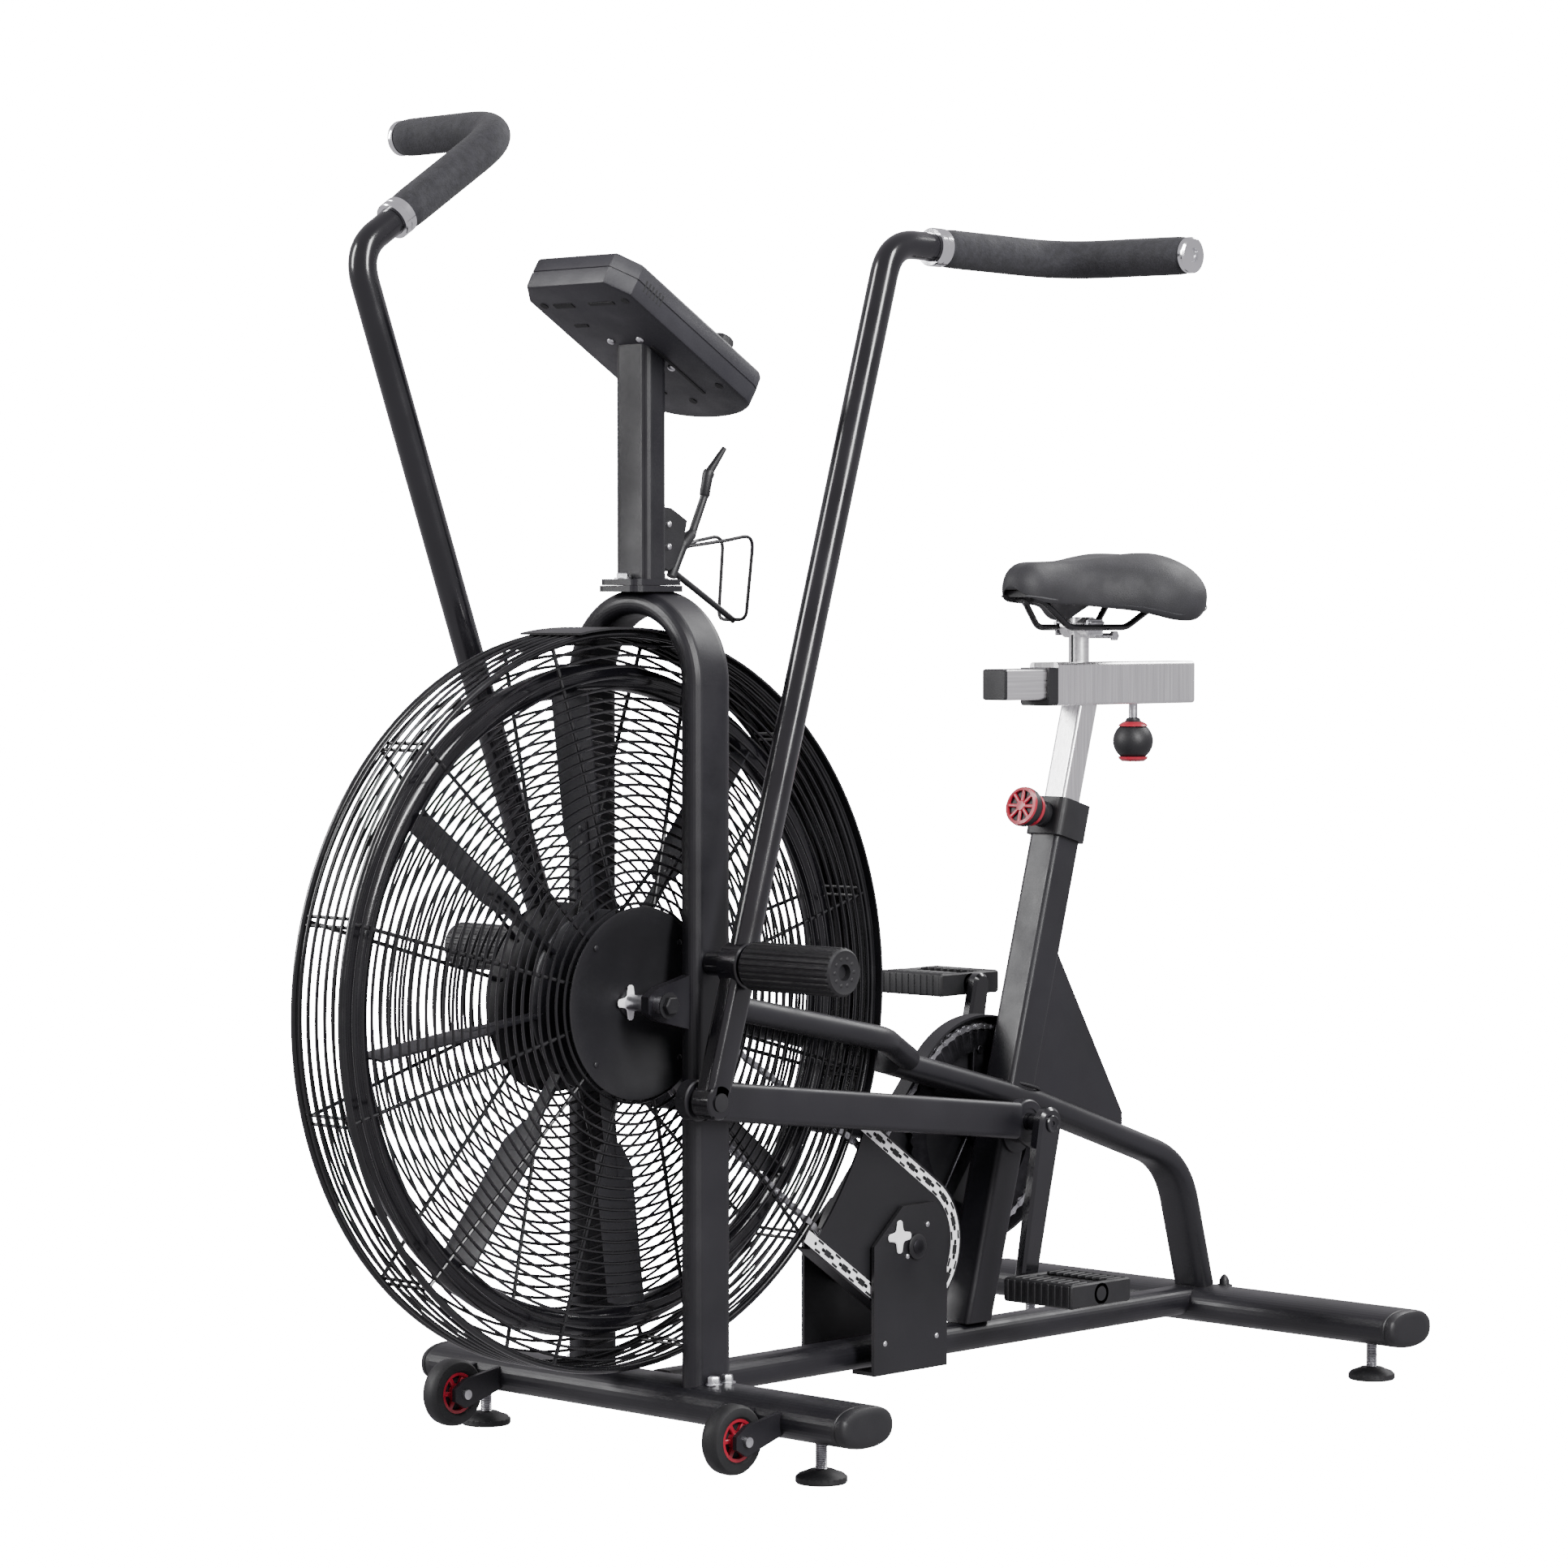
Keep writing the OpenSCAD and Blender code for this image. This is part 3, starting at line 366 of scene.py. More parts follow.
def make_finishes():
    """Every material of the bike, by a short name."""
    f = {}
    m = f["powder"] = Finish("powder_black", (0.0068, 0.0063, 0.0086), 0.42)
    m.tint(m.noise(9, 5), 0.85, 1.3).gloss(m.noise(30, 4), 0.36, 0.5).relief(m.noise(900, 2), 0.16, 0.0003)
    m = f["gloss"] = Finish("gloss_black", (0.0045, 0.0042, 0.0058), 0.2, Coat_Weight=0.35,
                            Coat_Roughness=0.08)
    m.tint(m.noise(12, 4), 0.85, 1.3).gloss(m.noise(24, 5), 0.15, 0.27).relief(m.noise(260, 2), 0.05, 0.0003)
    m = f["wire"] = Finish("wire_black", (0.0035, 0.0034, 0.0042), 0.24, Coat_Weight=0.2, Coat_Roughness=0.1)
    m.tint(m.noise(25, 3), 0.8, 1.35).gloss(m.noise(50, 3), 0.18, 0.34).relief(m.noise(500, 2), 0.06, 0.0002)
    m = f["guard"] = Finish("guard_black", (0.0065, 0.0062, 0.0078), 0.45)
    m.tint(m.noise(7, 5), 0.85, 1.25).gloss(m.noise(18, 4), 0.4, 0.55).relief(m.noise(1100, 2), 0.2, 0.0003)
    m = f["plastic"] = Finish("plastic_black", (0.0075, 0.0073, 0.0088), 0.5)
    m.tint(m.noise(14, 4), 0.85, 1.25).gloss(m.noise(40, 3), 0.43, 0.58).relief(m.cells(1300), 0.22, 0.0003)
    m = f["console"] = Finish("console_grey", (0.017, 0.0165, 0.021), 0.5)
    m.tint(m.noise(11, 4), 0.9, 1.15).gloss(m.noise(35, 3), 0.44, 0.58).relief(m.cells(1500), 0.25, 0.0003)
    # Near black, darker than the parts round it: painted shade in the console's slots, holes and vents, in
    # the wheel hubs' webs between the spokes and on the strip on the saddle stem; on the chain band it is the
    # links' own dark colour.
    m = f["dark"] = Finish("recess_shade_and_link_black", (0.004, 0.004, 0.005), 0.7)
    m.tint(m.noise(30, 3), 0.8, 1.4).relief(m.noise(600, 2), 0.2, 0.0003)
    m = f["foam"] = Finish("foam_grip", (0.0145, 0.0142, 0.0178), 0.85, Sheen_Weight=0.04,
                           Sheen_Roughness=0.6)
    m.tint(m.noise(160, 4), 0.75, 1.35).gloss(m.noise(60, 3), 0.78, 0.92)
    m.relief(m.cells(420), 0.45, 0.0006).relief(m.noise(1500, 2), 0.35, 0.0003)
    m = f["rubber"] = Finish("rubber_black", (0.006, 0.0058, 0.007), 0.6)
    m.tint(m.noise(40, 4), 0.8, 1.3).gloss(m.noise(30, 4), 0.5, 0.68).relief(m.noise(1200, 3), 0.25, 0.0003)
    m = f["tyre"] = Finish("tyre_black", (0.0055, 0.0055, 0.0063), 0.62)
    m.tint(m.noise(60, 4), 0.75, 1.5).gloss(m.noise(50, 3), 0.52, 0.72).relief(m.noise(800, 3), 0.25, 0.0003)
    m = f["blade"] = Finish("blade_black", (0.009, 0.0088, 0.0115), 0.42)
    m.tint(m.noise(15, 4), 0.85, 1.25).gloss(m.noise(26, 4), 0.36, 0.5).relief(m.noise(800, 2), 0.12, 0.0003)
    # White, not metal: on the star clips this is a painted highlight, the glint of a silver clip painted into
    # its colour; it is also the chain band's white.
    m = f["bright"] = Finish("white_clip_glint_and_band", (0.92, 0.92, 0.93), 0.45)
    m.tint(m.noise(90, 3), 0.95, 1.05).gloss(m.noise(80, 3), 0.36, 0.48).relief(m.noise(900, 2), 0.05, 0.0002)
    m = f["gunmetal"] = Finish("dark_steel", (0.035, 0.034, 0.038), 0.4, 1.0)
    m.tint(m.noise(60, 4), 0.75, 1.25).gloss(m.noise(80, 3), 0.32, 0.5).relief(m.noise(900, 2), 0.1, 0.0002)
    m = f["chrome"] = Finish("chrome_bright", (0.82, 0.82, 0.84), 0.12, 1.0)
    m.tint(m.noise(20, 3), 0.93, 1.05).gloss(m.noise(90, 4), 0.08, 0.2).relief(m.noise(700, 2), 0.04, 0.0002)
    m = f["zinc"] = Finish("zinc_bolt", (0.62, 0.62, 0.64), 0.3, 1.0)
    m.tint(m.noise(120, 4), 0.8, 1.15).gloss(m.noise(150, 3), 0.22, 0.42).relief(m.noise(1500, 2), 0.1,
            0.0002)
    m = f["steel"] = Finish("machined_steel", (0.5, 0.5, 0.52), 0.34, 1.0)
    m.tint(m.noise(60, 4), 0.75, 1.2).gloss(m.noise(80, 3), 0.26, 0.45).relief(m.noise(900, 2), 0.1, 0.0002)
    m = f["brushed"] = Finish("brushed_silver", (0.86, 0.855, 0.86), 0.34, 1.0)
    m.tint(m.noise(420, 3, (1, 0.02, 1)), 0.9, 1.06).gloss(m.noise(500, 3, (1, 0.02, 1)), 0.26, 0.44)
    m.relief(m.noise(900, 2, (1, 0.01, 1)), 0.12, 0.0002)
    m = f["post"] = Finish("post_silver", (0.86, 0.855, 0.86), 0.3, 1.0)
    m.tint(m.noise(420, 3, (1, 1, 0.02)), 0.88, 1.08).gloss(m.noise(500, 3, (1, 1, 0.02)), 0.22, 0.4)
    m.relief(m.noise(900, 2, (1, 1, 0.01)), 0.12, 0.0002)
    m = f["red"] = Finish("plastic_red", (0.36, 0.012, 0.03), 0.35, Coat_Weight=0.2, Coat_Roughness=0.15)
    m.tint(m.noise(40, 4), 0.8, 1.2).gloss(m.noise(60, 3), 0.28, 0.44).relief(m.noise(900, 2), 0.12, 0.0003)
    m = f["saddle"] = Finish("saddle_cover", (0.0115, 0.0112, 0.0138), 0.62, Sheen_Weight=0.04,
                             Sheen_Roughness=0.5)
    m.tint(m.noise(45, 5), 0.82, 1.25).gloss(m.noise(30, 4), 0.55, 0.72)
    m.relief(m.cells(900, "SMOOTH_F1"), 0.3, 0.0004).relief(m.noise(1800, 3), 0.2, 0.0002)
    m = f["thread"] = Finish("seam_thread", (0.03, 0.03, 0.034), 0.7, Sheen_Weight=0.3)
    m.tint(m.noise(900, 2), 0.7, 1.4).relief(m.noise(2500, 2), 0.4, 0.0002)
    m = f["screen"] = Finish("display_window", (0.012, 0.014, 0.016), 0.08, Coat_Weight=0.6,
                             Coat_Roughness=0.03)
    m.tint(m.noise(6, 2), 0.9, 1.2).gloss(m.noise(10, 3), 0.05, 0.12)
    m = f["lcd"] = Finish("display_grey", (0.16, 0.19, 0.15), 0.35)
    m.tint(m.noise(8, 3), 0.9, 1.1).gloss(m.noise(25, 3), 0.3, 0.42)
    return {key: value.mat for key, value in f.items()}


M = make_finishes()
CARRIED = {
    "powder": ("front_stabiliser", "rear_stabiliser", "base_tube", "fork_leg_left", "fork_leg_right",
               "fork_crown", "seat_tube", "mast"),
    "guard": ("chain_guard", "crank_guard", "jack_bracket", "wind_guard"),
    "plastic": ("post_collar", "carriage_bush"),
    "steel": ("fan_axle",),
    "post": ("seat_post",),
}
for key, names in CARRIED.items():
    for node_name in names:
        materials = NODES[node_name].data.materials
        materials.clear()
        materials.append(M[key])


# ---------------------------------------------------------------- places taken from the frame

FAN, CRANK, JACK = joint_at("fan_spin"), joint_at("crank_spin"), joint_at("jack_spin")
PIVOT = joint_at("lever_left_swing")
LEAN = math.radians(JOINTS["lever_left_swing"]["range_deg"][1] / 2)
CAGE_R = float(high("cage_rim")[2] - FAN[2])
CAGE_RIM_X = float(high("cage_rim")[0])
CAGE_HUB_X = float(high("cage_plates")[0])
DISC_R = float(high("cage_plates")[2] - FAN[2])
HOOP_R = float(high("fan_wheel")[2] - FAN[2]) - 13 * MM
LEVER_FOOT = 134 * MM
BLADES, FIRST_BLADE, BLADE_IN, HALF_BLADE = 8, 52, 143, 25
CAGE_RINGS = 26
SPOKE_ANGLES = [math.radians(15 + 30 * i) for i in range(12)]


def round_axle(angle, radius, x):
    """Point at a radius and angle about the fan's axle: angle 0 is straight up, turning towards -Y."""
    return vec(x, FAN[1] - radius * math.sin(angle), FAN[2] + radius * math.cos(angle))


# ---------------------------------------------------------------- frame pieces

def stabiliser_caps():
    """Rounded plastic caps on the stabilisers' ends."""
    shape = Shape()
    stages = [(0.0005, 1.0), (0.25, 1.0), (0.3, 0.975), (0.38, 0.975), (0.44, 1.0), (0.72, 0.98),
              (0.88, 0.92), (0.97, 0.8), (1.0, 0.62)]
    length = high("stabiliser_caps")[0] - high("rear_stabiliser")[0]
    for y in (low("stabiliser_caps")[1] + 37 * MM, high("stabiliser_caps")[1] - 37 * MM):
        x = high("rear_stabiliser")[0]
        z = (low("stabiliser_caps")[2] + high("stabiliser_caps")[2]) / 2
        for side in (1, -1):
            shape.loft([[vec(side * (x + length * t), y + a * k, z + b * k)
                         for a, b in oval(74 * MM, 40 * MM, 48, 0.83)] for t, k in stages])
    piece("stabiliser_end_caps", shape, M["plastic"], "frame", ["stabiliser_caps"])


def top_tube():
    """Oval main tube and the weld round the seat tube."""
    lo, hi = low("top_tube"), high("top_tube")
    foot_y = hi[1] - 13.5 * MM
    path = rounded_path([(0, lo[1] + 3 * MM, 0.362), (0, 0.33, 0.305), (0, 0.578, 0.220),
                         (0, foot_y, lo[2] + 1 * MM)], 90 * MM, 14)
    shape = Shape()
    shape.sweep(path, oval(46 * MM, 27 * MM, 40, 0.72), up=Z_AXIS)
    piece("main_tube", shape, M["powder"], "frame", ["top_tube"])
    weld = Shape()
    bead(weld, [vec(x, y, path_height(path, y) + 13.4 * MM) for x, y in ellipse_points(0, 0.316, 22 * MM,
            29 * MM)])
    piece("seat_tube_weld", weld, M["powder"], "frame")


def ellipse_points(cx, cy, rx, ry, steps=40):
    """Points of an ellipse."""
    return [(cx + rx * c, cy + ry * s) for c, s in circle(1, steps)]


def path_height(path, y):
    ys, zs = [p[1] for p in path], [p[2] for p in path]
    return float(np.interp(y, ys, zs))


def bead(shape, loop_points, r=1.6 * MM):
    """A weld bead with ripples along a closed line."""
    dense = []
    for a, b in zip(loop_points, loop_points[1:] + loop_points[:1]):
        dense += [a + (b - a) * k / 4 for k in range(4)]
    scale = [1 + 0.16 * math.sin(i * 1.9) for i in range(len(dense))]
    shape.tube(dense, r, 8, loop=True, scale=scale)


def stays():
    """Bent stay tubes from the fork legs to the main tube."""
    for name, side in SIDES:
        points = [(79, -199.5, 440.5), (72, 34, 393), (19, 126, 364)]
        path = rounded_path(mirrored([np.array(p) * MM for p in points], side), 60 * MM, 14)
        shape = Shape()
        shape.tube(path, 12.5 * MM, 28)
        bead(shape, [path[0] + vec(0, 1.4 * MM, 0) + vec(13 * MM * c, 0, 13 * MM * s)
                     for c, s in circle(1, 24)])
        piece("stay_tube_" + name, shape, M["powder"], "frame", ["stay_" + name])


def bolts():
    """Bolt heads of the axle, legs, mast and rear foot."""
    shape = Shape()
    outer = high("bolts")[0]
    for side in (1, -1):
        x = side * (outer - 8 * MM)
        shape.paint(1).hexagon((x, FAN[1], FAN[2]), (side, 0, 0), 16 * MM, 6 * MM)
        shape.paint(0)
        for dy in (-9, 9):
            shape.hexagon((side * 99 * MM, -0.229 + dy * MM, 78.4 * MM), Z_AXIS, 10.5 * MM, 7 * MM)
        shape.paint(1)
        base = (side * 26 * MM, 0.638, 75 * MM)
        shape.lathe(scaled([(0, 8), (2, 9), (3.5, 8.6), (4, 6), (9, 5.4), (12, 4), (15, 1.2)]), base, Z_AXIS,
                    24)
    for dy in (-25, 25):
        shape.paint(0).hexagon((0, -0.238 + dy * MM, low("mast")[2] + 6.2 * MM), Z_AXIS, 10.5 * MM, 4.6 * MM)
    piece("fasteners", shape, [M["zinc"], M["plastic"]], "frame", ["bolts"])


def feet():
    """Levelling feet: knurled pads on threaded stems."""
    for end in ("front", "rear"):
        for name in LEFT_RIGHT:
            node = f"foot_{end}_{name}"
            centre = vec(*JOINTS[node + "_turn"]["pos_m"])
            top = high(node)[2]
            shape = Shape()
            shape.lathe(scaled([(0, 21), (0.3, 23.8), (2, 25), (6, 24.6), (9, 22), (11.5, 15), (13, 12),
                                (13, 7)]), (centre[0], centre[1], 0), Z_AXIS, 48)
            for i in range(24):
                a = 2 * math.pi * i / 24
                shape.block((centre[0] + 24.4 * MM * math.cos(a), centre[1] + 24.4 * MM * math.sin(a),
                             4.2 * MM), mm(0.9, 2.4, 5), 0.3 * MM, ((math.cos(a), math.sin(a), 0),
                                                                    (-math.sin(a), math.cos(a), 0), Z_AXIS))
            shape.paint(1)
            turns = int((top - 13 * MM) / (1.75 * MM))
            thread = [(0, 4 * MM)]
            for i in range(turns):
                thread += scaled([((i + 0.1) * 1.75, 5.2), ((i + 0.6) * 1.75, 5.95)])
            shape.lathe(thread, (centre[0], centre[1], 12.8 * MM), Z_AXIS, 24)
            piece(node + "_pad", shape, [M["rubber"], M["zinc"]], node, [node])


def transport_wheels():
    """Small wheels at the front with red hubs."""
    for name in LEFT_RIGHT:
        centre = joint_at(f"wheel_{name}_spin")
        r = (high("wheel_" + name)[2] - low("wheel_" + name)[2]) / 2
        shape = Shape()
        tyre = [(-9, 20.5), (-10.6, 22.5), (-11, 26), (-10, 30.5), (-7, 32.8), (-3, 33.5), (3, 33.5),
                (7, 32.8), (10, 30.5), (11, 26), (10.6, 22.5), (9, 20.5)]
        k = r / (33.5 * MM) * MM
        shape.lathe([(a * k, b * k) for a, b in tyre], centre, X_AXIS, 64, loop=True)
        shape.paint(1)
        shape.lathe([(-8.6 * k, 17.4 * k), (-8.9 * k, 20.6 * k), (8.9 * k, 20.6 * k), (8.6 * k, 17.4 * k)],
                    centre, X_AXIS, 48, loop=True)
        shape.lathe([(-10.4 * k, 5.5 * k), (-10.4 * k, 9 * k), (10.4 * k, 9 * k), (10.4 * k, 5.5 * k)],
                    centre, X_AXIS, 32, loop=True)
        for i in range(6):
            a = math.pi * 2 * i / 6
            out = vec(0, math.cos(a), math.sin(a))
            shape.block(centre + out * 13.4 * k, (15 * k, 11 * k, 4.4 * k), 0.8 * k,
                        (X_AXIS, out, np.cross(out, X_AXIS)))
        # The web between the spokes is near black: painted shade between them.
        shape.paint(2)
        shape.lathe([(-3.4 * k, 5 * k), (-3.4 * k, 18.5 * k), (3.4 * k, 18.5 * k), (3.4 * k, 5 * k)], centre,
                    X_AXIS, 48, loop=True)
        piece("roller_" + name, shape, [M["tyre"], M["red"], M["dark"]], "wheel_" + name)
        axle = Shape()
        axle.lathe(scaled([(-23.6, 4.9), (23.6, 4.9)]), centre, X_AXIS, 24)
        for s in (1, -1):
            axle.hexagon(centre + vec(s * 19.6 * MM, 0, 0), (s, 0, 0), 7.5 * MM, 3.2 * MM, washer=False)
        piece("roller_bolt_" + name, axle, M["zinc"], "wheel_" + name, ["wheel_" + name])


# ---------------------------------------------------------------- fan and cage

def cage_x(r, half_rim, half_hub):
    """Half width of the cage at radius r: a shallow dome."""
    t = (r - DISC_R) / (CAGE_R - DISC_R)
    return half_hub + (half_rim - half_hub) * (0.75 * t + 0.25 * t * t)


def fan_cage():
    """Wire faces, rim and dished centre plates of the cage."""
    wire = 1.5 * MM
    pitch = (CAGE_R - 4 * MM - DISC_R - 3 * MM) / (CAGE_RINGS - 1)
    for name, side in SIDES:
        shape = Shape()
        for i in range(CAGE_RINGS):
            r = DISC_R + 3 * MM + i * pitch
            x = side * cage_x(r, CAGE_RIM_X - 1 * MM, CAGE_HUB_X - 4.5 * MM)
            shape.ring((x, FAN[1], FAN[2]), X_AXIS, r, wire, 120)
        for a in SPOKE_ANGLES:
            run = np.linspace(DISC_R - 12 * MM, CAGE_R - 2 * MM, 12)
            shape.tube([round_axle(a, r, side * (cage_x(max(r, DISC_R), CAGE_RIM_X - 1 * MM,
                                                        CAGE_HUB_X - 4.5 * MM) - wire * 1.6)) for r in run],
                       2 * MM, 8)
        piece("cage_wires_" + name, shape, M["wire"], "frame", ["cage_" + name])
    rim = Shape()
    span = CAGE_RIM_X - 1.2 * MM
    for i in range(7):
        x = -span + 2 * span * i / 6
        edge = i in (0, 6)
        inward = 2.6 * MM * np.sign(x) if edge else 0
        rim.ring((x - inward, FAN[1], FAN[2]), X_AXIS, CAGE_R - (4 if edge else 1.9) * MM,
                 (3.7 if edge else 1.6) * MM, 144, 12)
    for a in SPOKE_ANGLES:
        for shift in (-0.012, 0.012):
            rim.tube([round_axle(a + shift, CAGE_R - 4.6 * MM, x) for x in (-span, -span / 2, 0, span / 2,
                    span)], 1.7 * MM, 8)
    piece("cage_rim_wires", rim, M["wire"], "frame", ["cage_rim"])
    plates = Shape()
    disc = DISC_R / MM
    profile = [(-18.4, 12), (-18.4, 24), (-7, 76), (-2.6, disc - 3), (-1.4, disc), (-0.2, disc),
               (0, disc - 3), (-4.8, 76), (-16.4, 24), (-16.4, 12)]
    for side in (1, -1):
        outline = [(CAGE_HUB_X + x * MM, r * MM) for x, r in profile]
        plates.paint(0).lathe(outline, (0, FAN[1], FAN[2]), (side, 0, 0), 96, loop=True)
        for i in range(4):
            at = round_axle(math.pi / 4 + math.pi / 2 * i, DISC_R - 14 * MM, side * (CAGE_HUB_X - 2.6 * MM))
            plates.paint(1).dome(at, (side, 0, 0), 3 * MM, 1 * MM)
        seat = CAGE_HUB_X - 17 * MM
        washer = [(0, 8.2), (0, 14), (3, 13), (3, 8.2)]
        plates.paint(0).lathe([(seat + x * MM, r * MM) for x, r in washer], (0, FAN[1], FAN[2]), (side, 0, 0),
                              40, loop=True)
        # The star clip's white is a painted highlight: the glint of a silver clip.
        plates.paint(2)
        glint_star_clip(plates, vec(side * (seat + 3 * MM), FAN[1], FAN[2]), side, 17 * MM, 1.6 * MM)
    piece("cage_centre_plates", plates, [M["guard"], M["powder"], M["bright"]], "frame", ["cage_plates"])


def glint_star_clip(shape, centre, side, size, depth):
    """A flat clip with four stubby arms, shaped and coloured as a painted highlight: the four-point glint of
    a silver clip.
    """
    outline = []
    for i in range(4):
        c, d = math.cos(math.pi / 2 * i), math.sin(math.pi / 2 * i)
        for u, v in ((0.9, -0.22), (1, -0.1), (1, 0.1), (0.9, 0.22), (0.42, 0.3), (0.3, 0.42)):
            outline.append(((u * c - v * d) * size, (u * d + v * c) * size))

    def place(a, b, x):
        return centre + vec(side * x, a, b)

    shape.prism(outline, place, 0, depth, depth * 0.4)


def fan():
    """Hub, flat blades, outer hoop and sprocket of the fan."""
    shape = Shape()
    origin = vec(0, FAN[1], FAN[2])
    half = [(29, 8.3), (29, 31), (27, 34), (3, 36), (2, 60), (2, 86), (1, 88)]
    outline = [mm(-x, r) for x, r in half] + [mm(x, r) for x, r in reversed(half)]
    shape.lathe(outline, origin, X_AXIS, 72, loop=True)
    for i in range(BLADES):
        out = round_axle(math.radians(FIRST_BLADE + 360 / BLADES * i), 1, 0) - origin
        side = unit(np.cross(X_AXIS, out))
        sections = []
        for r in np.linspace(BLADE_IN * MM, HOOP_R - 10 * MM, 9):
            ease = min(1, (r - (BLADE_IN - 4) * MM) / (14 * MM)) ** 0.5
            profile = [mm(x * ease, 1.6 * (abs(x) / HALF_BLADE) ** 3)
                       for x in np.linspace(-HALF_BLADE, HALF_BLADE, 13)]
            base = origin + out * r - side * 0.8 * MM
            upper = [base + vec(x, 0, 0) + side * (h + 1.1 * MM) for x, h in profile]
            lower = [base + vec(x, 0, 0) + side * (h - 1.1 * MM) for x, h in reversed(profile)]
            sections.append(upper + lower)
        shape.loft(sections)
        shape.sweep([origin + out * 80 * MM, origin + out * 175 * MM],
                    rounded_rect(16 * MM, 5 * MM, 1.5 * MM), up=side)
        for r in (153, 168):
            shape.dome(origin + out * r * MM + side * 2.3 * MM, side, 3.4 * MM, 1.6 * MM, 14)
    piece("fan_blades", shape, M["blade"], "fan")
    hoop = Shape()
    hoop.ring(origin, X_AXIS, HOOP_R, 12.9 * MM, 160, 28)
    piece("fan_hoop", hoop, M["gloss"], "fan")
    cog = Shape()
    sprocket(cog, origin, 30.2 * MM, 31.5 * MM, 35 * MM, 15, 8.3 * MM)
    piece("fan_sprocket", cog, M["steel"], "fan", ["fan_wheel"])


# ---------------------------------------------------------------- drive

def sprocket(shape, centre, r, x0, x1, teeth, bore):
    """A toothed disc with a bore, as a ring of toothed and plain sections."""
    steps = teeth * 8

    def rim(inner, x, tooth):
        out = []
        for i in range(steps):
            a = 2 * math.pi * i / steps
            phase = math.cos(a * teeth)
            out.append(centre + vec(x, (inner + tooth * phase) * math.cos(a),
                                    (inner + tooth * phase) * math.sin(a)))
        return out

    shape.loft([rim(bore, x0, 0), rim(r - 3 * MM, x0, 0), rim(r - 1.2 * MM, x0 + 0.6 * MM, 1.6 * MM),
                rim(r - 1.2 * MM, x1 - 0.6 * MM, 1.6 * MM), rim(r - 3 * MM, x1, 0), rim(bore, x1, 0)],
               loop=True)


def loop_route(a, b, ra, rb, steps=160):
    """Points of an open belt line round two circles in the YZ plane, evenly spaced."""
    d = unit(b - a)
    n = vec(0, -d[2], d[1])
    lean = (ra - rb) / np.linalg.norm(b - a)
    phi = math.acos(lean)
    line = []
    for k in np.linspace(phi, 2 * math.pi - phi, 60):
        line.append(a + ra * (math.cos(k) * d + math.sin(k) * n))
    for k in np.linspace(-phi, phi, 60):
        line.append(b + rb * (math.cos(k) * d + math.sin(k) * n))
    line = np.array(line + [line[0]])
    along = np.concatenate([[0], np.cumsum(np.linalg.norm(np.diff(line, axis=0), axis=1))])
    count = max(2, int(along[-1] / (2 * 12.7 * MM))) * 2 if not steps else steps
    at = np.linspace(0, along[-1], count + 1)[:-1]
    return np.stack([np.interp(at, along, line[:, i]) for i in range(3)], 1)


def chain(shape, x, a, b, ra, rb):
    """A roller chain: rollers at the pitch, with inner and outer plates by turns."""
    pins = loop_route(a, b, ra + 2.4 * MM, rb + 2.4 * MM, None)
    for i, p in enumerate(pins):
        q = pins[(i + 1) % len(pins)]
        d = unit(q - p)
        n = vec(0, -d[2], d[1])
        length = np.linalg.norm(q - p)
        outline = []
        for k in range(6):
            t = math.pi / 2 + math.pi * k / 5
            outline.append((3.4 * MM * math.cos(t), 3.4 * MM * math.sin(t)))
        outline.append((length / 2, -2.1 * MM))
        for k in range(6):
            t = -math.pi / 2 + math.pi * k / 5
            outline.append((length + 3.4 * MM * math.cos(t), 3.4 * MM * math.sin(t)))
        outline.append((length / 2, 2.1 * MM))

        def place(u, v, w):
            return vec(x, 0, 0) + vec(w, p[1], p[2]) + d * u + n * v

        offset = 3.3 * MM if i % 2 else 2.3 * MM
        for s in (1, -1):
            lo_x, hi_x = sorted((s * offset, s * (offset - 0.9 * MM)))
            shape.prism(outline, place, lo_x, hi_x)
        shape.lathe(scaled([(-3.9, 1.6), (3.9, 1.6)]), vec(x, p[1], p[2]), X_AXIS, 8)
        shape.lathe(scaled([(-1.3, 2.5), (1.3, 2.5)]), vec(x, p[1], p[2]), X_AXIS, 10)


